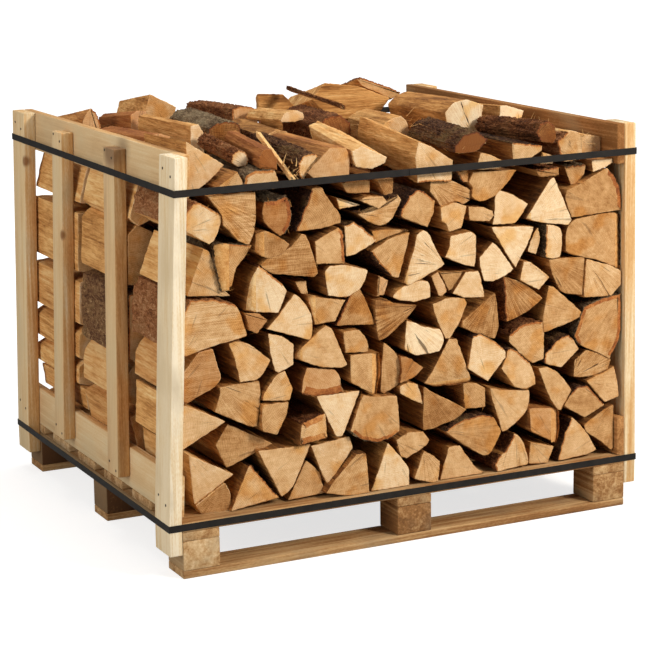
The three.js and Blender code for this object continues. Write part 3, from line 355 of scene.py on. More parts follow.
FRONT_LOGS = [
    # Bottom course, left to right
    [30, [-561, 168], [-487, 211], [-474, 185], [-476, 137], [-548, 138]],
    [30, [-577, 290], [-465, 228], [-565, 171]],
    [22, [-425, 247], [-352, 156], [-475, 138]],
    [30, [-509, 303], [-478, 349], [-366, 288], [-410, 272], [-482, 245]],
    [15, [-405, 276], [-300, 272], [-266, 275], [-318, 172], [-345, 157]],
    [25, [-282, 236], [-245, 203], [-234, 150], [-330, 146]],
    [10, [-268, 268], [-168, 279], [-159, 250], [-222, 170], [-231, 176]],
    [0, [-212, 172], [-150, 232], [-124, 232], [-116, 130], [-170, 133], [-230, 148]],
    [0, [-66, 250], [-30, 208], [-8, 178], [-8, 135], [-111, 135]],
    [0, [-44, 253], [-10, 268], [30, 263], [47, 240], [42, 230], [-15, 204], [-32, 211]],
    [0, [32, 216], [50, 206], [76, 184], [70, 134], [52, 132], [5, 150]],
    [0, [100, 216], [130, 217], [150, 188], [178, 150], [200, 138], [76, 136], [84, 165]],
    [0, [90, 256], [118, 273], [155, 283], [200, 284], [224, 276], [247, 236],
      [224, 194], [212, 182], [195, 181], [137, 220]],
    [0, [285, 226], [297, 219], [312, 195], [325, 152], [322, 142], [235, 136],
      [229, 156], [243, 173], [262, 186]],
    [0, [330, 197], [397, 178], [379, 138], [326, 143]],
    [0, [326, 283], [390, 277], [412, 266], [413, 215], [404, 186], [330, 226]],
    [0, [450, 246], [466, 231], [494, 200], [521, 153], [500, 145], [410, 138], [427, 200]],
    [0, [486, 222], [552, 258], [572, 262], [586, 244], [584, 226], [573, 206],
      [575, 152], [566, 145], [530, 177], [492, 201]],
    # Second course
    [25, [-586, 405], [-575, 403], [-502, 366], [-483, 355], [-592, 302]],
    [10, [-496, 438], [-445, 440], [-397, 441], [-394, 405], [-404, 334], [-420, 335],
      [-509, 381], [-493, 425]],
    [5, [-390, 383], [-322, 381], [-330, 350], [-355, 308], [-390, 320], [-393, 345]],
    [0, [-291, 326], [-238, 343], [-230, 340], [-226, 283], [-296, 274]],
    [0, [-252, 386], [-138, 386], [-186, 282], [-202, 282]],
    [0, [-132, 375], [-100, 365], [-60, 365], [-42, 362], [-36, 320], [-34, 272],
      [-60, 258], [-95, 253], [-140, 268], [-165, 292]],
    [0, [-33, 383], [-10, 391], [14, 383], [22, 360], [29, 332], [5, 343], [-32, 366]],
    [10, [31, 375], [50, 360], [105, 330], [148, 303], [118, 282], [78, 275], [62, 267], [30, 268]],
    [10, [138, 370], [175, 366], [200, 350], [202, 303], [146, 305]],
    [0, [212, 350], [255, 338], [325, 330], [326, 296], [315, 272], [262, 234],
      [249, 234], [238, 272], [222, 312]],
    [0, [262, 440], [275, 441], [310, 414], [328, 395], [342, 366], [343, 342],
      [316, 334], [284, 342], [266, 366], [245, 393], [260, 420]],
    [0, [350, 382], [375, 383], [400, 370], [430, 340], [448, 315], [418, 268], [408, 270], [380, 310]],
    [0, [426, 277], [447, 306], [462, 322], [495, 321], [512, 300], [545, 265], [487, 240]],
    [0, [490, 334], [552, 352], [572, 362], [583, 320], [587, 282], [545, 272], [530, 288], [500, 322]],
    # Third course
    [15, [-586, 475], [-546, 524], [-510, 528], [-502, 495], [-491, 458], [-504, 441],
      [-578, 409], [-588, 420]],
    [10, [-470, 536], [-448, 541], [-420, 530], [-393, 508], [-368, 485], [-390, 452],
      [-402, 444], [-445, 443], [-458, 505]],
    [5, [-372, 548], [-335, 538], [-309, 516], [-311, 468], [-348, 453], [-356, 458], [-367, 500]],
    [0, [-352, 450], [-332, 456], [-313, 412], [-322, 385], [-390, 393], [-386, 408]],
    [0, [-240, 543], [-225, 551], [-211, 544], [-172, 452], [-182, 446], [-240, 454],
      [-303, 480], [-300, 495]],
    [0, [-276, 457], [-203, 444], [-192, 430], [-188, 398], [-182, 388], [-215, 386],
      [-262, 388], [-290, 400], [-285, 430]],
    [0, [-181, 531], [-140, 532], [-124, 515], [-115, 492], [-117, 477], [-176, 480]],
    [0, [-163, 474], [-87, 471], [-84, 420], [-96, 371], [-112, 378], [-162, 408]],
    [10, [-76, 495], [-50, 474], [-33, 448], [-28, 420], [-36, 388], [-75, 370], [-84, 374], [-81, 440]],
    [5, [-30, 455], [-8, 450], [30, 421], [8, 402], [-32, 390], [-26, 420]],
    [0, [-14, 541], [5, 535], [25, 522], [76, 509], [86, 490], [87, 478],
      [74, 456], [12, 452], [-20, 470], [-18, 500]],
    [0, [100, 484], [122, 482], [150, 406], [163, 371], [120, 367], [50, 374],
      [33, 383], [62, 420], [82, 452]],
    [0, [165, 483], [185, 486], [225, 464], [256, 437], [258, 420], [208, 366], [152, 405], [162, 455]],
    [0, [268, 472], [300, 494], [335, 501], [361, 498], [366, 466], [365, 404],
      [334, 396], [296, 426], [267, 458]],
    [5, [368, 412], [405, 446], [438, 456], [452, 440], [466, 417], [416, 376], [368, 391]],
    [0, [468, 490], [480, 522], [530, 536], [586, 546], [595, 495], [592, 455],
      [580, 418], [557, 380], [530, 398], [490, 416], [464, 430], [453, 450]],
    [0, [455, 390], [490, 412], [528, 399], [560, 380], [552, 356], [500, 342], [452, 347]],
    # Fourth course
    [10, [-583, 615], [-563, 645], [-500, 641], [-452, 624], [-440, 610], [-436, 585],
      [-425, 550], [-437, 545], [-500, 537], [-586, 517]],
    [0, [-430, 602], [-395, 597], [-372, 580], [-400, 552], [-418, 560], [-424, 585]],
    [0, [-305, 634], [-293, 626], [-272, 602], [-261, 578], [-259, 540], [-266, 520],
      [-290, 530], [-376, 559], [-342, 592]],
    [5, [-272, 627], [-222, 614], [-175, 606], [-184, 594], [-201, 559], [-254, 556], [-264, 598]],
    [5, [-153, 633], [-138, 630], [-122, 602], [-101, 550], [-99, 540], [-160, 545], [-200, 548]],
    [5, [-98, 597], [-70, 598], [-42, 583], [15, 574], [-12, 546], [-66, 505], [-88, 500], [-96, 545]],
    [0, [-22, 622], [22, 633], [44, 627], [50, 615], [50, 589], [5, 583], [-30, 590], [-52, 600], [-40, 615]],
    [0, [52, 640], [70, 649], [92, 610], [94, 598], [83, 589], [72, 592]],
    [15, [74, 647], [140, 643], [118, 605], [100, 600], [92, 615]],
    [0, [56, 572], [100, 584], [142, 578], [149, 565], [132, 524], [102, 484],
      [90, 485], [76, 515], [64, 542]],
    [0, [146, 641], [180, 640], [186, 628], [198, 575], [145, 578], [110, 592]],
    [0, [139, 522], [200, 566], [226, 583], [232, 550], [238, 497], [226, 470],
      [200, 480], [150, 500], [137, 508]],
    [0, [250, 618], [290, 606], [322, 587], [362, 555], [330, 533], [297, 518], [258, 507], [254, 560]],
    [0, [306, 651], [322, 650], [345, 633], [380, 605], [350, 577], [296, 606]],
    [0, [378, 584], [390, 582], [481, 503], [445, 488], [364, 469], [361, 500]],
    [0, [377, 650], [480, 646], [479, 590], [474, 552], [425, 560], [411, 568], [386, 612]],
    [0, [486, 640], [555, 618], [597, 600], [594, 568], [560, 541], [478, 545], [482, 600]],
    # Fifth course
    [10, [-527, 758], [-513, 752], [-502, 720], [-492, 672], [-465, 646], [-568, 655]],
    [5, [-500, 766], [-470, 767], [-408, 756], [-426, 731], [-450, 706], [-458, 668],
      [-484, 656], [-500, 720]],
    [0, [-398, 784], [-372, 786], [-340, 768], [-314, 750], [-330, 730], [-362, 722],
      [-385, 728], [-400, 740]],
    [0, [-393, 708], [-366, 686], [-332, 658], [-324, 642], [-345, 594], [-390, 599],
      [-427, 606], [-416, 670], [-404, 692]],
    [5, [-283, 771], [-273, 768], [-250, 702], [-244, 676], [-252, 668], [-365, 687],
      [-388, 708], [-375, 720], [-335, 728], [-303, 750]],
    [20, [-303, 662], [-275, 661], [-271, 630], [-288, 633]],
    [0, [-250, 750], [-215, 768], [-190, 777], [-180, 768], [-175, 692], [-247, 698]],
    [0, [-227, 678], [-214, 690], [-172, 689], [-117, 671], [-121, 650], [-137, 625],
      [-172, 612], [-219, 620]],
    [0, [-174, 780], [-150, 787], [-122, 765], [-92, 740], [-108, 729], [-150, 711], [-172, 708]],
    [10, [-104, 762], [-60, 762], [-8, 755], [-58, 746], [-96, 733]],
    [0, [-5, 750], [-55, 741], [-106, 713], [-82, 680], [-50, 648], [-34, 645], [-20, 695]],
    [10, [-88, 655], [-62, 641], [-74, 608], [-92, 607]],
    [0, [14, 742], [32, 752], [46, 744], [64, 705], [88, 665], [74, 657],
      [30, 638], [-8, 624], [-22, 630], [-8, 668], [8, 712]],
    [0, [105, 731], [160, 737], [175, 726], [174, 680], [170, 651], [142, 658], [89, 682], [100, 700]],
    [0, [220, 706], [231, 697], [278, 636], [262, 624], [220, 610], [196, 614], [185, 650], [184, 672]],
    [0, [216, 742], [300, 738], [334, 734], [316, 690], [298, 664], [284, 638], [274, 650]],
    [5, [336, 722], [345, 731], [352, 704], [349, 688], [340, 665], [318, 674], [323, 694]],
    [0, [368, 736], [392, 732], [410, 722], [415, 710], [414, 670], [409, 652], [385, 650], [368, 656]],
    [0, [430, 728], [444, 741], [552, 751], [592, 745], [591, 700], [588, 606],
      [556, 619], [500, 640], [438, 656], [422, 666], [422, 710]],
    # Sixth course
    [0, [-573, 842], [-562, 864], [-533, 863], [-508, 847], [-483, 831], [-481, 816],
      [-500, 773], [-512, 768], [-574, 803]],
    [0, [-515, 876], [-397, 876], [-396, 815], [-404, 775], [-414, 757], [-440, 766],
      [-462, 793], [-478, 806], [-480, 832]],
    [0, [-376, 853], [-350, 852], [-322, 860], [-310, 840], [-310, 800], [-320, 784],
      [-338, 770], [-362, 790], [-378, 806], [-382, 830]],
    [5, [-256, 874], [-232, 874], [-220, 852], [-185, 806], [-186, 787], [-240, 778],
      [-298, 777], [-270, 835]],
    [10, [-195, 846], [-136, 825], [-160, 822], [-187, 820]],
    [10, [-182, 880], [-108, 880], [-110, 852], [-150, 853], [-168, 857]],
    [5, [-136, 836], [-118, 843], [-74, 840], [-64, 826], [-86, 812]],
    [0, [-146, 808], [-100, 812], [-62, 824], [-36, 842], [-27, 828], [-50, 787],
      [-68, 773], [-88, 772], [-114, 786]],
    [5, [-88, 880], [-48, 880], [-50, 846], [-70, 842]],
    [0, [-8, 832], [12, 848], [32, 845], [62, 818], [60, 795], [43, 757], [0, 776], [-30, 788], [-26, 808]],
    [5, [50, 866], [80, 868], [115, 860], [160, 836], [158, 812], [140, 804],
      [116, 814], [78, 803], [66, 822], [48, 842]],
    [0, [78, 800], [115, 811], [148, 799], [142, 778], [133, 748], [100, 742], [92, 762], [80, 768]],
    [0, [152, 797], [192, 793], [218, 782], [222, 770], [210, 757], [156, 763]],
    [0, [166, 878], [284, 875], [262, 848], [226, 817], [200, 807], [174, 809],
      [162, 820], [165, 842], [155, 856]],
    [10, [118, 885], [152, 885], [150, 856], [138, 856]],
    [0, [236, 831], [276, 816], [318, 790], [297, 760], [280, 746], [218, 748], [224, 778], [224, 816]],
    [0, [382, 848], [391, 848], [441, 741], [431, 729], [350, 742], [311, 754]],
    [0, [421, 796], [428, 815], [456, 823], [498, 842], [541, 860], [556, 850],
      [578, 812], [588, 790], [588, 754], [500, 750], [441, 746]],
    [15, [418, 874], [478, 874], [475, 850], [450, 827], [438, 827]],
    [5, [495, 882], [556, 882], [563, 873], [540, 863], [500, 853]],
    [5, [338, 870], [402, 872], [403, 853], [350, 852]],
    # Under and over the upper strap
    [10, [-490, 893], [-440, 925], [-424, 893], [-428, 880], [-480, 880]],
    [8, [-424, 893], [-422, 915], [-395, 925], [-350, 922], [-338, 893], [-345, 880], [-420, 880]],
    [5, [-272, 912], [-232, 942], [-210, 962], [-168, 960], [-160, 938], [-160, 885], [-240, 885]],
    [5, [176, 890], [186, 923], [212, 916], [248, 898], [240, 882], [180, 882]],
    [5, [270, 942], [356, 928], [355, 916], [325, 900], [300, 892], [276, 882]],
    [5, [356, 912], [390, 900], [385, 882], [350, 884]],
    [60, [456, 915], [470, 948], [537, 938], [530, 900], [460, 895]],
]

# What the end of a front log shows, by its place in the list: the wood's shade, the sides that
# have bark, and facets, where a corner broke or split off aslant: direction, width and depth.
DARK_ENDS = [25, 41, 50, 54, 57, 60, 87, 88, 90, 93, 95, 99, 103, 105]
BROWN_ENDS = [0, 5, 7, 12, 17, 26, 30, 32, 40, 48, 53, 61, 64, 67, 68, 70, 75, 92, 98, 102]
PALE_ENDS = [8, 22, 24, 34, 42, 44, 51, 55, 59, 62, 69, 73, 74, 78, 79, 80, 81, 83, 85, 89, 100, 101, 104]
REDDISH_ENDS = [15, 32, 37, 41, 50, 56, 77, 87, 99, 108]
BARK_SIDES = {
    2: "top", 12: "top", 13: "left", 16: "left", 21: "top bottom", 23: "bottom", 28: "top", 30: "top",
    37: "bottom", 44: "top", 45: "top", 46: "left top", 47: "left top right", 49: "left top", 53: "left",
    61: "left", 67: "left top", 69: "top", 72: "right", 74: "top", 76: "left",
    83: "left", 84: "right", 85: "left top", 87: "right top", 88: "left", 92: "top", 94: "top left",
    99: "left", 102: "right", 103: "top", 105: "top", 107: "top left", 110: "top",
}
BARK_BANDS = {23: 8, 37: 17, 21: 14, 47: 9, 102: 10, 72: 7, 87: 9, 84: 6, 45: 5, 107: 6}
FACETS = {
    15: [("right", 24, 10)], 39: [("right", 22, 14)], 68: [("left", 22, 12)], 69: [("left", 26, 14)],
    84: [("right", 14, 6)], 67: [("left", 34, 8)], 8: [("left", 12, 6)], 52: [("left", 20, 10)],
    36: [("left", 16, 12)], 101: [("left", 14, 8)], 78: [("left", 10, 8)], 43: [("bottom", 14, 9)],
}
CRACKED_ENDS = [10, 19, 42, 48, 54, 60, 61, 64, 65, 78, 86, 92, 95]
SAW_MARKED_ENDS = [32, 49, 70, 86]
DIRECTIONS = {"right": 0, "top": 90, "left": 180, "bottom": 270}
BARK_SPREAD = 52
SHADE_OF = {86: -0.1}
for ends, end_shade in ((DARK_ENDS, -0.22), (BROWN_ENDS, -0.11), (PALE_ENDS, 0.2)):
    SHADE_OF.update((i, end_shade) for i in ends if i not in SHADE_OF)
# Painted light and shade on the logs' sides: logs deep in the stack get darker sides as painted shade, and
# those at the outer left get paler sides as painted light
PAINTED_SHADE_ON_SIDES, PAINTED_LIGHT_ON_SIDES, OUTER_X = -0.2, 0.24, -530

ROW_FRONT, ROW_BACK = -530, -212
END_UNEVEN = 8
DECK_TOP = 133
BAY_DEEP, BAY_HALF_WIDE = 1080, 600
RAIL_HIGH, RAIL_THICK, RAIL_NEAR, WALL_GAP = 98, 22, 16, 2
POST_TOP = 967
LEANS = {"left": (37.6, 21.5), "right": (16.5, 13.9)}

AROUND_FINE, RINGS_FINE = 64, 16
AROUND_PLAIN, RINGS_PLAIN = 40, 8
AROUND_PILE, RINGS_PILE = 96, 36
INSET_STEP = 0.2
SHALLOW_TURN, ROUNDING_PASSES = 38, 4
CHAMFER, CORNER_SOFTNESS, RIM_RAGGED = 1.2, 0.05, 0.55
END_TILT = 0.018
SHARP_ARRIS = 42
LOGS_APART, ENDS_DIFFER, SIDES_DIFFER = 9000, 0.05, 0.08
SPLIT_RELIEF, BARK_RELIEF = 1.3, 2.6
SPLIT_LUMPS, BARK_LUMPS = 0.35, 0.9
SWELL = 1.0
GROWTH_RING = 4.2
BLOTCHES_PER_METRE, CLOUDS_PER_METRE, SPECKS_PER_METRE = 26, 110, 480
# How finely rays and cracks divide the turn round the pith, the way out from it, and the logs
RAY_SPREAD, CRACK_SPREAD = (34, 14, 60), (11, 9, 60)
SAW_TURN, SAW_MARKS = (0, 0.6, 0), (14, 1, 420)
GOLDEN_FROM, GOLDEN_TO, GOLDEN_MOST = 0.5, 0.68, 0.75
PORES_FROM, PORES_TO, PORES_MOST = 0.64, 0.74, 0.6
CRACK_FROM, CRACK_TO, CRACK_DEPTH = 0.645, 0.675, 1.5
MOSS_FROM, MOSS_TO, MOSS_MOST = 0.52, 0.7, 0.45
END_BUMP, SPLIT_BUMP, BARK_BUMP = 1.2, 2.2, 4.5
PORE_BROWN, CRACK_BROWN, HEART_RED, TORN_RED = "#7a4c28", "#3c2413", "#b8703a", "#9a5226"


def wood_grain(tree):
    """The log's own place: across its rings in X and Z, and along it in Y, in metres."""
    return add(tree, "ShaderNodeAttribute", attribute_name="grain").outputs["Vector"]


def log_tone(tree):
    """The log's shade in X, which on its sides also holds painted light and shade, its redness in Y and its
    draw of figure in Z.
    """
    tone = add(tree, "ShaderNodeAttribute", attribute_name="tone").outputs["Vector"]
    return add(tree, "ShaderNodeSeparateXYZ", {0: tone}).outputs


def sawn_end_wood():
    """Beech and birch sawn across: growth rings round the pith, rays out from it, saw marks."""
    material, tree, shader = new_material("sawn end grain of split hardwood")
    grain = wood_grain(tree)
    tone = log_tone(tree)
    figure = add(tree, "ShaderNodeSeparateXYZ",
                 {0: add(tree, "ShaderNodeAttribute", attribute_name="figure").outputs["Vector"]}).outputs
    flat = add(tree, "ShaderNodeVectorMath", {0: grain, 1: (1, 0, 1)}, operation="MULTIPLY").outputs[0]
    apart = add(tree, "ShaderNodeCombineXYZ", {"Y": tone["Z"]}).outputs[0]
    spot = add(tree, "ShaderNodeVectorMath", {0: flat, 1: apart}, operation="ADD").outputs[0]
    apart_spot = add(tree, "ShaderNodeVectorMath", {0: spot, 1: (3, 3, 3)}, operation="ADD").outputs[0]
    blotch, cloud, speck = [
        add(tree, "ShaderNodeTexNoise", {"Vector": spot, "Scale": scale, "Detail": detail}).outputs["Fac"]
        for scale, detail in ((BLOTCHES_PER_METRE, 4), (CLOUDS_PER_METRE, 5), (SPECKS_PER_METRE, 3))]
    # A ring is 2 to 4 mm wide, drawn at the coarse end so that it still shows
    far = add(tree, "ShaderNodeVectorMath", {0: flat}, operation="LENGTH").outputs["Value"]
    turns = add(tree, "ShaderNodeMath", {0: far, 1: 2 * math.pi / (GROWTH_RING * MM)}, operation="MULTIPLY")
    wander = add(tree, "ShaderNodeMath", {0: cloud, 1: 9.0, 2: turns.outputs[0]}, operation="MULTIPLY_ADD")
    ring = add(tree, "ShaderNodeMath", {0: wander.outputs[0]}, operation="SINE").outputs[0]
    rings = add(tree, "ShaderNodeMath", {0: ring, 1: 0.5, 2: 0.5}, operation="MULTIPLY_ADD").outputs[0]
    # Rays: noise laid out by the angle round the pith
    parts = add(tree, "ShaderNodeSeparateXYZ", {0: flat}).outputs
    angle = add(tree, "ShaderNodeMath", {0: parts["Z"], 1: parts["X"]}, operation="ARCTAN2").outputs[0]
    fan = add(tree, "ShaderNodeCombineXYZ", {"X": angle, "Y": far, "Z": tone["Z"]}).outputs[0]
    laid = [add(tree, "ShaderNodeMapping", sockets).outputs["Vector"] for sockets in (
        {"Vector": fan, "Scale": RAY_SPREAD}, {"Vector": fan, "Scale": CRACK_SPREAD},
        {"Vector": spot, "Rotation": SAW_TURN, "Scale": SAW_MARKS})]
    rays, splits, saw = [
        add(tree, "ShaderNodeTexNoise", {"Vector": vector, "Scale": 1, "Detail": detail}).outputs["Fac"]
        for vector, detail in zip(laid, (3, 4, 2))]
    ring_part, ray_part, saw_part = [
        add(tree, "ShaderNodeMix", {0: figure[share], 2: 0.5, 3: drawn}).outputs[0]
        for share, drawn in (("X", rings), ("Y", rays), ("Z", saw))]
    light = blend_values(tree, [(blotch, 0.5), (cloud, 0.32), (speck, 0.4), (ring_part, 0.16),
                                (ray_part, 0.9), (saw_part, 0.7), (tone["X"], 1.1)], 0.55)
    wood = add(tree, "ShaderNodeValToRGB", {"Fac": light}, stops=END_STOPS).outputs["Color"]
    # Golden patches where the wood is waxy with sap, and pores as dark specks
    patch = add(tree, "ShaderNodeTexNoise", {"Vector": apart_spot, "Scale": 17, "Detail": 2}).outputs["Fac"]
    golden = add(tree, "ShaderNodeMapRange", {"Value": patch, "From Min": GOLDEN_FROM, "From Max": GOLDEN_TO,
                                              "To Max": GOLDEN_MOST},
                 interpolation_type="SMOOTHSTEP").outputs[0]
    wood = add(tree, "ShaderNodeMix", {0: golden, 6: wood, 7: linear(SAP_GOLD)}, data_type="RGBA",
               blend_type="MULTIPLY").outputs[2]
    pores = add(tree, "ShaderNodeMapRange", {"Value": speck, "From Min": PORES_FROM, "From Max": PORES_TO,
                                             "To Max": PORES_MOST}).outputs[0]
    crack = add(tree, "ShaderNodeMapRange", {"Value": splits, "From Min": CRACK_FROM, "From Max": CRACK_TO},
                interpolation_type="SMOOTHSTEP").outputs[0]
    crack_part = add(tree, "ShaderNodeMath", {0: crack, 1: figure["Y"]}, operation="MULTIPLY",
                     use_clamp=True).outputs[0]
    for share, stained in ((pores, PORE_BROWN), (tone["Y"], HEART_RED), (crack_part, CRACK_BROWN)):
        wood = add(tree, "ShaderNodeMix", {0: share, 6: wood, 7: linear(stained)},
                   data_type="RGBA").outputs[2]
    tree.links.new(wood, shader.inputs["Base Color"])
    height = blend_values(tree, [(speck, 0.7), (rings, 0.25), (ray_part, 0.8), (saw_part, 0.9)])
    deep = add(tree, "ShaderNodeMath", {0: crack_part, 1: -CRACK_DEPTH, 2: height}, operation="MULTIPLY_ADD")
    bump = add(tree, "ShaderNodeBump", {"Height": deep.outputs[0], "Strength": 0.7,
                                        "Distance": END_BUMP * MM})
    tree.links.new(bump.outputs["Normal"], shader.inputs["Normal"])
    shader.inputs["Roughness"].default_value = 0.85
    shader.inputs["Specular IOR Level"].default_value = 0.2
    return material


def split_wood(name, stops, relief=1.0, middle=0.54):
    """Wood torn along its grain by the splitter: long fibres, streaks and torn slivers."""
    material, tree, shader = new_material(name)
    grain = wood_grain(tree)
    tone = log_tone(tree)
    fibre = streaks(tree, grain, 2.6, 60, "Y", 4.0, 0.3)
    band = streaks(tree, grain, 11, 170, "Y", 4.0, 0.5)
    broad = streaks(tree, grain, 45, 160, "Y", 3.0)
    torn = streaks(tree, grain, 6, 26, "Y", 5.0, 1.0)
    light = blend_values(tree, [(fibre, 0.6), (band, 0.75), (broad, 0.7), (torn, 0.45), (tone["X"], 0.8)],
                         middle)
    wood = add(tree, "ShaderNodeValToRGB", {"Fac": light}, stops=stops).outputs["Color"]
    red = add(tree, "ShaderNodeMix", {0: tone["Y"], 6: wood, 7: linear(TORN_RED)},
              data_type="RGBA").outputs[2]
    tree.links.new(red, shader.inputs["Base Color"])
    height = blend_values(tree, [(fibre, 0.8), (band, 1.2), (torn, 0.9)])
    bump = add(tree, "ShaderNodeBump", {"Height": height, "Strength": 0.8,
                                        "Distance": SPLIT_BUMP * relief * MM})
    tree.links.new(bump.outputs["Normal"], shader.inputs["Normal"])
    shader.inputs["Roughness"].default_value = 0.8
    shader.inputs["Specular IOR Level"].default_value = 0.25
    return material


def bark(name, stops, moss):
    """Dry bark: rough plates a few millimetres across, drawn out along the log, with moss or lichen."""
    material, tree, shader = new_material(name)
    grain = wood_grain(tree)
    tone = log_tone(tree)
    plates = streaks(tree, grain, 7, 16, "Y", 6.0, 1.2)
    rough = streaks(tree, grain, 2.2, 4, "Y", 5.0, 0.5)
    broad = streaks(tree, grain, 45, 80, "Y", 3.0)
    light = blend_values(tree, [(plates, 1.3), (rough, 0.7), (broad, 0.7), (tone["X"], 0.5)], 0.46)
    base = add(tree, "ShaderNodeValToRGB", {"Fac": light}, stops=stops).outputs["Color"]
    grown = add(tree, "ShaderNodeMapRange", {"Value": broad, "From Min": MOSS_FROM, "From Max": MOSS_TO,
                                             "To Max": MOSS_MOST}).outputs[0]
    colour = add(tree, "ShaderNodeMix", {0: grown, 6: base, 7: linear(moss)}, data_type="RGBA").outputs[2]
    tree.links.new(colour, shader.inputs["Base Color"])
    height = blend_values(tree, [(plates, 1.6), (rough, 0.8)])
    bump = add(tree, "ShaderNodeBump", {"Height": height, "Strength": 0.9, "Distance": BARK_BUMP * MM})
    tree.links.new(bump.outputs["Normal"], shader.inputs["Normal"])
    shader.inputs["Roughness"].default_value = 0.92
    shader.inputs["Specular IOR Level"].default_value = 0.15
    return material


# Fresh-cut ends: tan to cream, browner where the heartwood or the wet shows
END_STOPS = [(0.0, "#6c421f"), (0.22, "#a0703f"), (0.45, "#c79a66"), (0.66, "#deb888"), (1.0, "#f5e0bc")]
SAP_GOLD = "#f6d9a0"
SPLIT_STOPS = [(0.0, "#3f2512"), (0.3, "#835428"), (0.52, "#b67e42"), (0.75, "#dca664"), (1.0, "#f0cb8e")]
FACET_STOPS = [(0.0, "#8a5426"), (0.3, "#b8793c"), (0.55, "#d59c5a"), (0.8, "#e6b878"), (1.0, "#f2d09a")]
INNER_STOPS = [(0.0, "#4a2512"), (0.3, "#7e4521"), (0.55, "#ad6a34"), (0.8, "#cb8e50"), (1.0, "#ddab70")]
BARK_STOPS = [(0.0, "#180d06"), (0.3, "#40271a"), (0.55, "#6a482f"), (0.8, "#946f4a"), (1.0, "#c4a070")]
RED_BARK_STOPS = [(0.0, "#30180c"), (0.3, "#643a20"), (0.55, "#935e38"), (0.8, "#b38056"), (1.0, "#cfa47c")]
GREY_BARK_STOPS = [(0.0, "#2a1e16"), (0.3, "#56432f"), (0.55, "#816b50"), (0.8, "#a18a6a"), (1.0, "#c2ae90")]
end_wood = sawn_end_wood()
split_face = split_wood("split face of dry hardwood", SPLIT_STOPS)
facet_face = split_wood("golden split facet", FACET_STOPS, 0.6, 0.7)
inner_bark = split_wood("inner bark, orange brown", INNER_STOPS, 0.6, 0.6)
dark_bark = bark("dry dark bark with moss", BARK_STOPS, "#5a4e2c")
red_bark = bark("reddish brown bark", RED_BARK_STOPS, "#7a5a38")
grey_bark = bark("grey bark with lichen", GREY_BARK_STOPS, "#8f8164")
LOG_MATERIALS = [split_face, end_wood, facet_face, inner_bark, dark_bark, red_bark, grey_bark]
SPLIT, END, FACET, INNER, DARK_BARK, RED_BARK, GREY_BARK = range(7)


def cut_into_rings(piece, count):
    """Cuts a piece that stands on end, and is in edit mode, into rings along its side."""
    bpy.ops.mesh.select_mode(type="EDGE")
    shape = bmesh.from_edit_mesh(piece.data)
    for edge in shape.edges:
        edge.select_set(abs(edge.verts[0].co.z - edge.verts[1].co.z) > 0.5)
    bmesh.update_edit_mesh(piece.data)
    bpy.ops.mesh.subdivide(number_cuts=count)


def log_blank(name, around, rings):
    """A round billet to shape each log from: rings along its side, and two insets in each end."""
    alone()
    bpy.ops.mesh.primitive_cylinder_add(vertices=around, radius=1, depth=1, end_fill_type="NGON")
    blank = bpy.context.object
    blank.name = name
    bpy.ops.object.mode_set(mode="EDIT")
    cut_into_rings(blank, rings - 1)
    bpy.ops.mesh.select_mode(type="FACE")
    shape = bmesh.from_edit_mesh(blank.data)
    for face in shape.faces:
        face.select_set(len(face.verts) == around)
    bmesh.update_edit_mesh(blank.data)
    bpy.ops.mesh.inset(thickness=INSET_STEP, use_individual=True)
    bpy.ops.mesh.inset(thickness=INSET_STEP, use_individual=True)
    bpy.ops.object.mode_set(mode="OBJECT")
    places = np.array([v.co for v in blank.data.vertices])
    radius = np.hypot(places[:, 0], places[:, 1])
    turn = np.round(np.arctan2(places[:, 1], places[:, 0]) / (2 * math.pi / around)).astype(int) % around
    table = {
        "turn": turn,
        "ring": np.round((places[:, 2] + 0.5) * rings).astype(int),
        "inset": np.round((1 - radius) / INSET_STEP).astype(int),
        "rings": rings,
        "around": around,
    }
    face_table = []
    for face in blank.data.polygons:
        face_turns = turn[list(face.vertices)]
        insets = table["inset"][list(face.vertices)]
        low = face_turns.min()
        first = around - 1 if low == 0 and face_turns.max() == around - 1 else low
        face_table.append((len(face.vertices) == around, insets.max(), first))
    table["faces"] = face_table
    mesh = blank.data
    bpy.data.objects.remove(blank)
    return mesh, table


fine_blank = log_blank("fine_billet", AROUND_FINE, RINGS_FINE)
plain_blank = log_blank("plain_billet", AROUND_PLAIN, RINGS_PLAIN)
pile_blank = log_blank("pile_billet", AROUND_PILE, RINGS_PILE)


def spaced(corners, count):
    """Spreads a number of points round an outline, one of them on each corner."""
    corners = np.array(corners, float)
    edges = np.roll(corners, -1, axis=0) - corners
    lengths = np.maximum(np.hypot(*edges.T), 0.01)
    steps = np.maximum(1, np.floor(lengths / lengths.sum() * count)).astype(int)
    while steps.sum() > count:
        steps[np.argmax(np.where(steps > 1, steps / lengths, 0))] -= 1
    while steps.sum() < count:
        steps[np.argmax(lengths / steps)] += 1
    return np.array([a + e * k / n for a, e, n in zip(corners, edges, steps) for k in range(n)])


def rounded(points, softness):
    """Rounds the shallow turns of an outline into arcs, and takes the edge off the sharp ones."""
    for _ in range(ROUNDING_PASSES):
        before, after = np.roll(points, 1, axis=0), np.roll(points, -1, axis=0)
        a, b = points - before, after - points
        cross = a[:, 0] * b[:, 1] - a[:, 1] * b[:, 0]
        turn = np.abs(np.degrees(np.arctan2(cross, (a * b).sum(axis=1))))
        weight = np.where(turn < SHALLOW_TURN, 0.5, softness)[:, None]
        points = points * (1 - weight) + (before + after) / 2 * weight
    return points


def outward(points):
    """The outward normal at each point of an outline."""
    along = np.roll(points, -1, axis=0) - np.roll(points, 1, axis=0)
    area = (points[:, 0] * np.roll(points[:, 1], -1) - np.roll(points[:, 0], -1) * points[:, 1]).sum()
    side = 1 if area > 0 else -1
    normal = np.column_stack([along[:, 1], -along[:, 0]]) * side
    return normal / np.maximum(np.hypot(*normal.T), 1e-6)[:, None], side


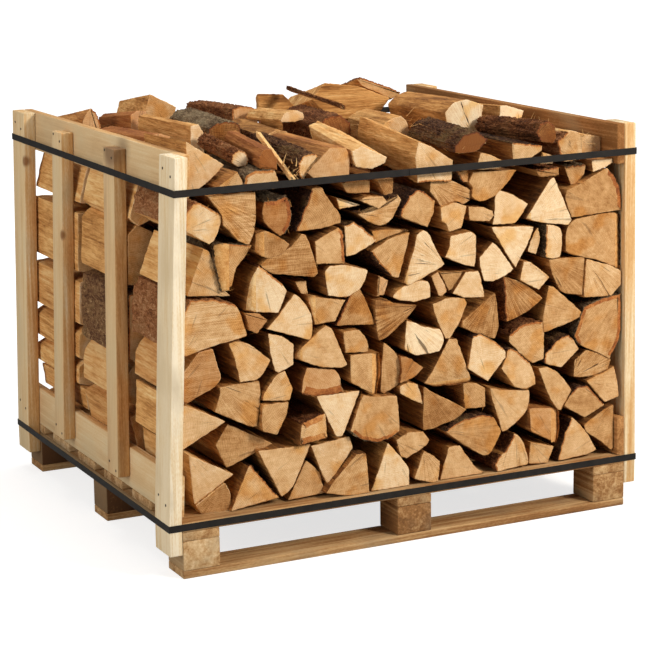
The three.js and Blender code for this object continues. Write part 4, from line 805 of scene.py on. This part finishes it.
def smooth_noise(draw, count, passes):
    """A ring of random heights, from -1 to 1, smoothed with their neighbours."""
    heights = draw.uniform(-1, 1, count)
    for _ in range(passes):
        heights = (np.roll(heights, 1) + 2 * heights + np.roll(heights, -1)) / 4
    return heights / max(np.abs(heights).max(), 1e-6)


def facing(normals, names):
    """Which points of an outline face one of the named directions."""
    mask = np.zeros(len(normals), bool)
    for name in names.split():
        angle = math.radians(DIRECTIONS[name])
        mask |= normals @ (math.cos(angle), math.sin(angle)) > math.cos(math.radians(BARK_SPREAD))
    return mask


def side_heights(draw, barked, rings):
    """How far each point of a log's side stands out: long fibres, lumps of bark, and a slight swell."""
    around = len(barked)
    fibres = np.array([smooth_noise(draw, around, 1) for _ in range(4)])
    steps = np.linspace(0, 3, rings + 1)
    heights = np.array([[np.interp(s, range(4), fibre) for fibre in fibres.T] for s in steps])
    lumps = draw.uniform(-1, 1, (rings + 1, around)) * np.where(barked, BARK_LUMPS, SPLIT_LUMPS)
    heights = (heights + lumps) * np.where(barked, BARK_RELIEF, SPLIT_RELIEF)
    heights = heights + SWELL * np.sin(np.linspace(0, math.pi, rings + 1))[:, None] * draw.uniform(-1, 1)
    heights[0] = heights[0] * 0.5 + draw.uniform(-RIM_RAGGED, RIM_RAGGED, around)
    return heights


def pith_of(draw, outline):
    """Where the log's pith was: a little past the sharpest corner, where the splits met."""
    a, b = outline - np.roll(outline, 2, axis=0), np.roll(outline, -2, axis=0) - outline
    turns = np.abs(np.arctan2(a[:, 0] * b[:, 1] - a[:, 1] * b[:, 0], (a * b).sum(axis=1)))
    sharpest = outline[np.argmax(turns)]
    return sharpest + (sharpest - outline.mean(axis=0)) * draw.uniform(0.05, 0.4)


def face_material(face, barked, broken, bark_kind, split_ends):
    """What a face of a log shows, from its place in the blank: wood, a facet, inner bark or bark."""
    is_end, most, first = face
    if is_end or split_ends:
        return SPLIT if split_ends else END
    if most == 0:
        return bark_kind if barked[first] else SPLIT
    if broken[first]:
        return FACET if most == 2 else SPLIT
    if barked[first]:
        return INNER if most == 2 else bark_kind
    return END


def make_log(name, corners, front, back, seed, blank=fine_blank, shift=(0, 0), bark_sides="",
             bark_kind=DARK_BARK, band=3.0, facets=(), shade=0.0, redness=0.0, figure=(0.5, 0.35, 0.2),
             painted_side_light_and_tone=0.0, split_ends=False, gather=1.0):
    """One split log, from its end's outline to its back end. Lengths in millimetres."""
    mesh, table = blank
    draw = np.random.default_rng(seed)
    around, rings = table["around"], table["rings"]
    turn, ring, inset = table["turn"], table["ring"], table["inset"]
    outline = rounded(spaced(corners, around), CORNER_SOFTNESS)
    normals, side = outward(outline)
    if side < 0:
        outline, normals = outline[::-1], normals[::-1]
    barked = facing(normals, bark_sides)
    heights = side_heights(draw, barked, rings)
    centre = outline.mean(axis=0)
    pith = pith_of(draw, outline)

    # Rings stand closer together near the front, where the log shows
    depth = (ring / rings) ** gather
    edge = outline[turn] + normals[turn] * heights[ring, turn][:, None]
    # The ends: a broken arris, then the flat, with a strip of bark and the facets
    chips = CHAMFER * (0.6 + np.abs(smooth_noise(draw, around, 1)))
    bands = np.where(barked, band, chips + 0.4)
    at_front, at_back, at_rim = ring == 0, ring == rings, inset == 0
    into = np.where(at_rim, 0, np.where(inset == 1, chips[turn], bands[turn] + chips[turn]))
    reach = np.maximum(np.hypot(*(centre - edge).T), 1e-6)
    placed = edge - normals[turn] * np.minimum(into, reach * 0.5)[:, None]
    tilt = draw.normal(0, END_TILT, 2)
    lean = (placed - centre) @ tilt
    y = front + (back - front) * depth + np.where(at_front, lean, np.where(at_back, -lean * 0.6, 0))
    y = y + np.where(at_rim, chips[turn] * 0.8, 0) * (at_front.astype(float) - at_back)
    broken = np.zeros(around, bool)
    for direction, width, fall in facets:
        angle = math.radians(DIRECTIONS[direction])
        toward = np.array((math.cos(angle), math.sin(angle)))
        limit = (outline @ toward).max() - width
        beyond = np.maximum(0, placed @ toward - limit)
        placed = placed - np.where(at_front & (inset == 2), beyond, 0)[:, None] * toward
        y = y + np.where(at_front & (inset < 2), beyond / width * fall, 0)
        broken |= (outline @ toward) > limit + 0.8
    placed = placed + depth[:, None] * np.array(shift)

    made = mesh.copy()
    made.name = name
    places = np.column_stack([placed[:, 0], y, placed[:, 1]]) * MM
    made.vertices.foreach_set("co", places.astype(np.float32).ravel())
    for material in LOG_MATERIALS:
        made.materials.append(material)
    kinds = [face_material(face, barked, broken, bark_kind, split_ends) for face in table["faces"]]
    made.polygons.foreach_set("material_index", kinds)
    piece = bpy.data.objects.new(name, made)
    bpy.context.scene.collection.objects.link(piece)
    along = y + draw.uniform(0, LOGS_APART)
    grain = np.column_stack([placed[:, 0] - pith[0], along, placed[:, 1] - pith[1]]) * MM
    mark(piece, "grain", grain[:, [1, 0, 2]] if split_ends else grain)
    tone = np.zeros((len(places), 3))
    tone[:] = (0.5 + shade + draw.normal(0, ENDS_DIFFER), redness, draw.uniform(0, LOGS_APART * MM))
    # The sides take a tone of their own: partly their own colour, and partly painted shade for logs deep in
    # the stack and painted light for those at the outside
    tone[at_rim, 0] = 0.5 + painted_side_light_and_tone + draw.normal(0, SIDES_DIFFER)
    mark(piece, "tone", tone)
    mark(piece, "figure", np.array(figure) * draw.uniform(0.6, 1.4, 3))
    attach(piece, "root")
    alone(piece)
    bpy.ops.object.shade_smooth_by_angle(angle=math.radians(SHARP_ARRIS))
    return piece


def lean_in(side, y, z):
    """How far a side panel has moved in at a depth and a height, in millimetres."""
    front, back = LEANS[side]
    lean = front + (back - front) * (y + BAY_DEEP / 2) / BAY_DEEP
    return lean * max(0, z - DECK_TOP) / (POST_TOP - DECK_TOP)


def inside_bay(x, z, y):
    """Keeps a corner on the deck and between the side panels, clear of their rails."""
    by_rail = z < DECK_TOP + RAIL_HIGH + RAIL_NEAR or z > POST_TOP - RAIL_HIGH - RAIL_NEAR
    wall = BAY_HALF_WIDE - WALL_GAP - (RAIL_THICK if by_rail else 0)
    return min(max(x, -wall + lean_in("left", y, z)), wall - lean_in("right", y, z)), max(z, DECK_TOP + 0.8)


def set_back(x, z, depth):
    """Moves a corner seen on the front plane back along the camera's line of sight."""
    share = depth / (ROW_FRONT - EYE.y / MM)
    return x + (x - EYE.x / MM) * share, z - (EYE.z / MM - z) * share


for i, (setback, *corners) in enumerate(FRONT_LOGS):
    depth = setback + END_UNEVEN / 2 * (1 + math.sin(2.4 * i))
    front = ROW_FRONT + depth
    placed = [inside_bay(*set_back(x, z, depth), front) for x, z in corners]
    sides = BARK_SIDES.get(i, "")
    # Front logs at the outer left get painted light on their sides, and the rest get painted shade
    log = make_log(
        f"front_log_{i:03d}", placed, front, ROW_BACK + 3 * math.sin(1.3 * i), seed=1000 + i,
        bark_sides=sides, bark_kind=(DARK_BARK, RED_BARK, DARK_BARK, GREY_BARK)[i % 4],
        band=BARK_BANDS.get(i, 3.0), facets=FACETS.get(i, ()), shade=SHADE_OF.get(i, 0.0),
        redness=0.22 if i in REDDISH_ENDS else 0.0,
        painted_side_light_and_tone=PAINTED_LIGHT_ON_SIDES if min(x for x, z in placed) < OUTER_X else PAINTED_SHADE_ON_SIDES, gather=2.0,
        figure=(0.6, 1.0 if i in CRACKED_ENDS else 0.3, 1.0 if i in SAW_MARKED_ENDS else 0.25))
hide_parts("front_row_logs")


# Middle and back rows: the same kinds of split log, stacked behind the front row.
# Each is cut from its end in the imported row, so that it lies where that log lies.

def end_outlines(node, looks_front):
    """The outline and depth of each end of a row's solid that faces front, or back."""
    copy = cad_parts[node].data.copy()
    shape = bmesh.new()
    shape.from_mesh(copy)
    bmesh.ops.remove_doubles(shape, verts=shape.verts, dist=0.02 * MM)
    shape.normal_update()
    sign = -1 if looks_front else 1
    flats = {}
    for face in shape.faces:
        if face.normal.y * sign > 0.999:
            flats.setdefault(round(face.calc_center_median().y / MM, 2), []).append(face)
    ends = []
    for y, faces in flats.items():
        members = set(faces)
        follow = {}
        for face in faces:
            for loop in face.loops:
                if not any(other in members for other in loop.edge.link_faces if other is not face):
                    follow[loop.vert] = loop.link_loop_next.vert
        while follow:
            start, here = next(iter(follow.items()))
            path = [start]
            del follow[start]
            while here in follow:
                path.append(here)
                here = follow.pop(here)
            ends.append((y, np.array([(v.co.x / MM, v.co.z / MM) for v in path])))
    shape.free()
    return ends


def polygon_area(points):
    """The area inside an outline, in square millimetres."""
    x, z = points.T
    return abs((x * np.roll(z, -1) - np.roll(x, -1) * z).sum()) / 2


LEAST_END = 700
PILE_LEAST_Z, SAME_DEPTH = 885, 0.4
LEFT_EDGE = -555
# The bark that shows between the left slats: from and to which height, and its kind
LEFT_BARKS = {"middle": [(500, 612, DARK_BARK), (435, 499, RED_BARK)], "back": []}
ROW_SIDES = ["left", "top", "", "bottom", "right", "", "left top", "", "right bottom", "", "top", ""]
# The logs that lie on a row and press into it: their row, front and back, and how far they slant
JOINED_LOGS = {
    "red_brown_log_left": ("middle", -188, 132, (-2, -16)),
    "brown_bark_log": ("middle", -184, 134, (36, -6)),
    "dark_bark_log_middle": ("middle", -191, 132, (50, -8)),
    "torn_split_log": ("middle", -185, 80, (40, -10)),
    "brown_log_back_left": ("back", 158, 400, (3, -31)),
}
# The side tones here are partly the sides' own colour and partly painted light and shade
JOINED_FINISHES = {
    "red_brown_log_left": dict(shade=0.0, painted_side_light_and_tone=-0.08, redness=0.45),
    "brown_bark_log": dict(painted_side_light_and_tone=0.0, bark_sides="left", bark_kind=RED_BARK, shade=-0.1),
    "dark_bark_log_middle": dict(bark_sides="left top right", bark_kind=RED_BARK, painted_side_light_and_tone=-0.2,
                                 redness=0.2, shade=-0.5),
    "torn_split_log": dict(shade=0.1, painted_side_light_and_tone=0.16),
    "brown_log_back_left": dict(shade=0.05, painted_side_light_and_tone=-0.1, redness=0.5),
}
for row in ("middle", "back"):
    node = row + "_row_logs"
    backs = [(y, points) for y, points in end_outlines(node, False) if polygon_area(points) > LEAST_END]
    fronts = [(y, points) for y, points in end_outlines(node, True) if polygon_area(points) > LEAST_END]
    logs = []
    for name, (its_row, front, back, shift) in JOINED_LOGS.items():
        if its_row != row:
            continue
        own = next(end for end in fronts
                   if end[1][:, 1].mean() > PILE_LEAST_Z and abs(end[0] - front) < SAME_DEPTH)
        fronts = [end for end in fronts if end is not own]
        log = make_log(name + "_split", own[1], front, back, 5000 + len(logs), pile_blank, shift,
                       **JOINED_FINISHES[name])
        logs.append(log)
    for i, (front, points) in enumerate(sorted(fronts, key=lambda end: (end[1][:, 1].mean(), end[0]))):
        middle = points.mean(axis=0)
        back = min(backs, key=lambda end: np.hypot(*(end[1].mean(axis=0) - middle)))[0]
        seed = (2000 if row == "middle" else 3000) + i
        sides, kind = ROW_SIDES[seed % 12], (DARK_BARK, RED_BARK, GREY_BARK)[seed % 3]
        at_left = points[:, 0].min() < LEFT_EDGE
        if at_left:
            sides = ""
            for low, high, left_kind in LEFT_BARKS[row]:
                if low < middle[1] < high:
                    sides, kind = "left top", left_kind
        # Logs at the left edge get painted light on their sides, and the rest get half the painted shade
        log = make_log(
            f"{row}_log_{i:03d}", points, front, back, seed, plain_blank, bark_sides=sides, bark_kind=kind,
            shade=0.12 * math.sin(2.1 * seed), redness=0.25 * max(0, math.sin(1.3 * seed)),
            painted_side_light_and_tone=PAINTED_LIGHT_ON_SIDES if at_left else PAINTED_SHADE_ON_SIDES / 2)
        logs.append(log)
    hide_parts(node)


# Loose logs on top: bigger splits and bark pieces, thrown on last and held down by the strap.
# Each follows its imported solid from end to end.

# The side tones here are partly the sides' own colour and partly painted light and shade
TOP_FINISHES = {
    "wedge_log_behind_left_post": dict(shade=0.12, figure=(0.3, 0.3, 0.3)),
    "bark_log_with_small_end": dict(bark_sides="left top right", bark_kind=RED_BARK, shade=0.35,
                                    painted_side_light_and_tone=0.08, band=2, figure=(0.2, 1.0, 0.2)),
    "orange_bark_log": dict(redness=0.42, shade=-0.5, painted_side_light_and_tone=-0.2),
    "mossy_bark_log": dict(bark_sides="left top right", bark_kind=DARK_BARK, shade=0.2, painted_side_light_and_tone=0.0),
    "splintered_lath": dict(shade=0.3, painted_side_light_and_tone=0.3),
    "pale_slab_log": dict(shade=0.12, painted_side_light_and_tone=0.28),
    "long_brown_log": dict(shade=0.1, painted_side_light_and_tone=0.0, bark_sides="bottom"),
    "big_dark_bark_log": dict(bark_sides="left top right", bark_kind=DARK_BARK, shade=-0.66, painted_side_light_and_tone=-0.05,
                              redness=0.2),
    "dark_bark_log_right": dict(bark_sides="left top", bark_kind=RED_BARK, redness=0.12, shade=-0.5,
                                painted_side_light_and_tone=-0.1),
    "splintered_log_right": dict(bark_sides="left", bark_kind=RED_BARK, painted_side_light_and_tone=0.1),
    "tan_log_left": dict(shade=0.3, painted_side_light_and_tone=0.14),
    "grey_bark_log": dict(bark_sides="left top right", bark_kind=GREY_BARK, painted_side_light_and_tone=-0.05, shade=-0.35),
    "yellow_split_log": dict(shade=0.15, painted_side_light_and_tone=0.22),
    "big_pale_log": dict(shade=0.3, painted_side_light_and_tone=0.0, figure=(0.2, 1.0, 0.2)),
    "small_pale_log_right": dict(shade=0.25, painted_side_light_and_tone=0.1),
    "small_log_back_left": dict(bark_sides="right", bark_kind=RED_BARK, redness=0.15, painted_side_light_and_tone=0.1),
    "upturned_split_log": dict(shade=0.0, painted_side_light_and_tone=0.02),
    "red_log_back": dict(bark_sides="left top", bark_kind=RED_BARK, redness=0.3, shade=0.2),
    "tan_split_log_back": dict(painted_side_light_and_tone=0.1, split_ends=True),
    "flat_brown_split_log": dict(painted_side_light_and_tone=0.0, split_ends=True),
    "red_stick_on_top": dict(bark_sides="left top right", bark_kind=RED_BARK, redness=0.3, painted_side_light_and_tone=0.0),
    "bark_slab_at_back": dict(bark_sides="top", bark_kind=RED_BARK, shade=-0.1),
}
for i, (node, looks) in enumerate(TOP_FINISHES.items()):
    front, points = min(end_outlines(node, True), key=lambda end: end[0])
    back, far_points = max(end_outlines(node, False), key=lambda end: end[0])
    shift = far_points.mean(axis=0) - points.mean(axis=0)
    log = make_log(node + "_split", points, front, back, 4000 + i, pile_blank, shift, **looks)
    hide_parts(node)


# Nails: two in each joint of the side panels, driven in by a nail gun until their heads are flush.
# They are bright steel gone dull and grey in the weather, and all are one mesh.

NAIL_HEAD, NAIL_PROUD, NAIL_RIM = 6.5, 0.7, 0.3
RUST_SPOTS_PER_METRE = 600
NAILS_ASIDE, NAIL_DROP = 22, 7
NAIL_HEIGHTS = [DECK_TOP + RAIL_HIGH / 2, POST_TOP - 36]
PANEL_OUTSIDE = 632
weathered_steel, tree, shader = new_material("weathered steel nail heads")
place = add(tree, "ShaderNodeTexCoord").outputs["Object"]
rust = add(tree, "ShaderNodeTexNoise", {"Vector": place, "Scale": RUST_SPOTS_PER_METRE})
tint = add(tree, "ShaderNodeValToRGB", {"Fac": rust.outputs["Fac"]},
           stops=[(0.35, "#2f2823"), (0.65, "#5a4c40")])
tree.links.new(tint.outputs["Color"], shader.inputs["Base Color"])
shader.inputs["Metallic"].default_value = 0.6
shader.inputs["Roughness"].default_value = 0.6


def join_as(name, parts):
    """Joins the given objects into one, with a new name."""
    alone(parts[0])
    for part in parts:
        part.select_set(True)
    bpy.ops.object.join()
    parts[0].name = parts[0].data.name = name
    return parts[0]


heads = []
for side, outside in (("left", -1), ("right", 1)):
    for upright_name in (f"post_{side}_front", f"post_{side}_back", f"slat_{side}_1", f"slat_{side}_2"):
        corners = [v.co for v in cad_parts[upright_name].data.vertices]
        for height in NAIL_HEIGHTS:
            level_side = [c.y for c in corners if abs(c.z / MM - height) < POST_TOP / 2]
            middle = (min(level_side) + max(level_side)) / 2 / MM
            for step in (-1, 1):
                y, z = middle + step * NAILS_ASIDE, height + step * NAIL_DROP
                x = outside * (PANEL_OUTSIDE - lean_in(side, y, z))
                bpy.ops.mesh.primitive_cylinder_add(
                    vertices=12, radius=NAIL_HEAD / 2 * MM, depth=2 * NAIL_PROUD * MM,
                    location=(x * MM, y * MM, z * MM), rotation=(0, math.pi / 2, 0))
                heads.append(bpy.context.object)
nails = join_as("panel_nails", heads)
bpy.ops.object.transform_apply(location=True, rotation=True, scale=True)
rim = nails.modifiers.new("rim", "BEVEL")
rim.width, rim.segments, rim.limit_method = NAIL_RIM * MM, 2, "ANGLE"
bpy.ops.object.modifier_apply(modifier=rim.name)
nails.data.materials.append(weathered_steel)
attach(nails, "root")


# The upper strap's weld: the band's two ends overlap at the front and are melted together.
# The overlap is a second layer of the same plastic, and its end stands off as a small step.

WELD_FROM_X, WELD_LONG, WELD_ARRIS = -12, 118, 0.35
STRAP_THICK, STRAP_WIDE = 1.2, 16
front_of_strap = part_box("strap_upper")[0][1] / MM
strap_corners = [v.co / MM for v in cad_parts["strap_upper"].data.vertices]
near_corners = [c for c in strap_corners if c.y < front_of_strap + 2.5 * STRAP_THICK]
left_z = np.mean([c.z for c in near_corners if c.x < 0])
right_z = np.mean([c.z for c in near_corners if c.x > 0])
half_span = (max(c.x for c in near_corners) - min(c.x for c in near_corners)) / 2


def strap_height(x):
    """The height of the middle of the upper strap along the front."""
    return left_z + (right_z - left_z) * (x + half_span) / (2 * half_span)


alone()
bpy.ops.mesh.primitive_cube_add(size=1)
weld = bpy.context.object
weld.name = "strap_upper_weld"
bpy.ops.object.mode_set(mode="EDIT")
bpy.ops.mesh.subdivide(number_cuts=6)
bpy.ops.object.mode_set(mode="OBJECT")
for vertex in weld.data.vertices:
    x = WELD_FROM_X + (vertex.co.x + 0.5) * WELD_LONG
    y = front_of_strap + (vertex.co.y - 0.5) * STRAP_THICK
    vertex.co = Vector((x, y, strap_height(x) + vertex.co.z * STRAP_WIDE)) * MM
arris = weld.modifiers.new("arris", "BEVEL")
arris.width, arris.segments, arris.limit_method = WELD_ARRIS * MM, 2, "ANGLE"
alone(weld)
bpy.ops.object.modifier_apply(modifier=arris.name)
weld.data.materials.append(strapping)
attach(weld, "root")


# Splinters: slivers and fibres torn up by the splitter, still held at one end or caught in gaps.
# Each is a thin wedge of wood with a bend in it, and each handful is one mesh.

SPLINTER_RINGS, SPLINTER_FLATNESS, STRAYING = 5, 0.45, 0.35
RIM_DEPTH = 14
alone()
bpy.ops.mesh.primitive_cone_add(vertices=5, radius1=1, radius2=0.12, depth=1)
sliver = bpy.context.object
bpy.ops.object.mode_set(mode="EDIT")
cut_into_rings(sliver, SPLINTER_RINGS)
bpy.ops.object.mode_set(mode="OBJECT")
sliver_mesh = sliver.data
sliver_shape = np.array([v.co for v in sliver_mesh.vertices])
bpy.data.objects.remove(sliver)


def roots_in(low, high, along):
    """Where a sliver starts and where it heads: anywhere in a box, along one direction."""
    return lambda draw: (draw.uniform(low, high), np.array(along, float))


def roots_on(names, front_rim=False):
    """The same, for slivers that stand off the skin of the named logs, or off their front rims."""
    places = []
    for piece in (bpy.data.objects[name] for name in names):
        level = min(v.co.y for v in piece.data.vertices) + RIM_DEPTH * MM
        for v in piece.data.vertices:
            if v.co.y < level if front_rim else v.normal.z > 0.1 and v.normal.y > -0.5:
                places.append((np.array(v.co) / MM, np.array(v.normal) * (1, 0.3, 1)))
    if front_rim:
        places = [(place, normal) for place, normal in places if np.hypot(*normal[[0, 2]]) > 0.5]

    def pick(draw):
        place, normal = places[draw.integers(len(places))]
        stray = (draw.normal(0, 0.6), draw.uniform(-0.5, 0.1), draw.normal(0, 0.5))
        return place - normal, normal * 0.8 + stray
    return pick


def splinters(name, count, roots, length, thick, seed, shade):
    """A handful of slivers that bend a little on their way. Lengths in millimetres."""
    draw = np.random.default_rng(seed)
    parts = []
    for k in range(count):
        root, heading = roots(draw)
        heading = heading + draw.normal(0, STRAYING, 3)
        heading /= np.linalg.norm(heading)
        across = np.cross(heading, (0.2, 0.1, 1))
        across /= np.linalg.norm(across)
        over = np.cross(across, heading)
        reach = length * draw.uniform(0.5, 1.2)
        girth = thick * draw.uniform(0.6, 1.3)
        bend = reach * draw.uniform(-0.22, 0.22)
        go = sliver_shape[:, 2] + 0.5
        body = (root + heading * (go * reach)[:, None]
                + across * (sliver_shape[:, 0] * girth + bend * go ** 2)[:, None]
                + over * (sliver_shape[:, 1] * girth * SPLINTER_FLATNESS)[:, None])
        mesh = sliver_mesh.copy()
        mesh.vertices.foreach_set("co", (body * MM).astype(np.float32).ravel())
        part = bpy.data.objects.new(f"{name}_{k}", mesh)
        bpy.context.scene.collection.objects.link(part)
        parts.append(part)
    piece = join_as(name, parts)
    mark(piece, "grain", np.array([v.co for v in piece.data.vertices]) + draw.uniform(0, 9))
    mark(piece, "tone", (0.5 + shade, 0.0, 0.5))
    piece.data.materials.append(split_face)
    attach(piece, "root")


HAIRY_LOGS = ["mossy_bark_log_split", "dark_bark_log_middle_split", "big_dark_bark_log_split",
              "red_log_back_split"]
FRAYED_LOGS = [2, 9, 13, 19, 21, 23, 26, 29, 33, 37, 41, 45, 47, 50, 57, 60, 62, 67, 72, 76, 85, 87, 92,
               96, 99, 105]
splinters("splinters_by_lath", 16, roots_in((-312, -545, 900), (-288, -470, 930), (0.3, -0.4, 0.5)),
          length=30, thick=1.9, seed=11, shade=0.5)
splinters("fibres_on_middle_pile", 26, roots_in((40, -300, 950), (165, -120, 985), (0.8, -0.3, 0.25)),
          length=34, thick=1.3, seed=12, shade=0.34)
splinters("curls_by_right_rail", 8, roots_in((490, -260, 925), (560, -160, 940), (0.5, 0.0, 0.8)),
          length=26, thick=1.0, seed=13, shade=0.36)
splinters("fibres_on_right_pile", 12, roots_in((440, -520, 920), (500, -470, 945), (0.6, -0.3, 0.3)),
          length=26, thick=1.4, seed=14, shade=0.3)
splinters("hairs_on_dark_bark", 240, roots_on(HAIRY_LOGS), length=22, thick=1.2, seed=15, shade=0.3)
splinters("fibres_at_front_rims", 240, roots_on([f"front_log_{i:03d}" for i in FRAYED_LOGS], front_rim=True),
          length=14, thick=1.0, seed=16, shade=0.0)
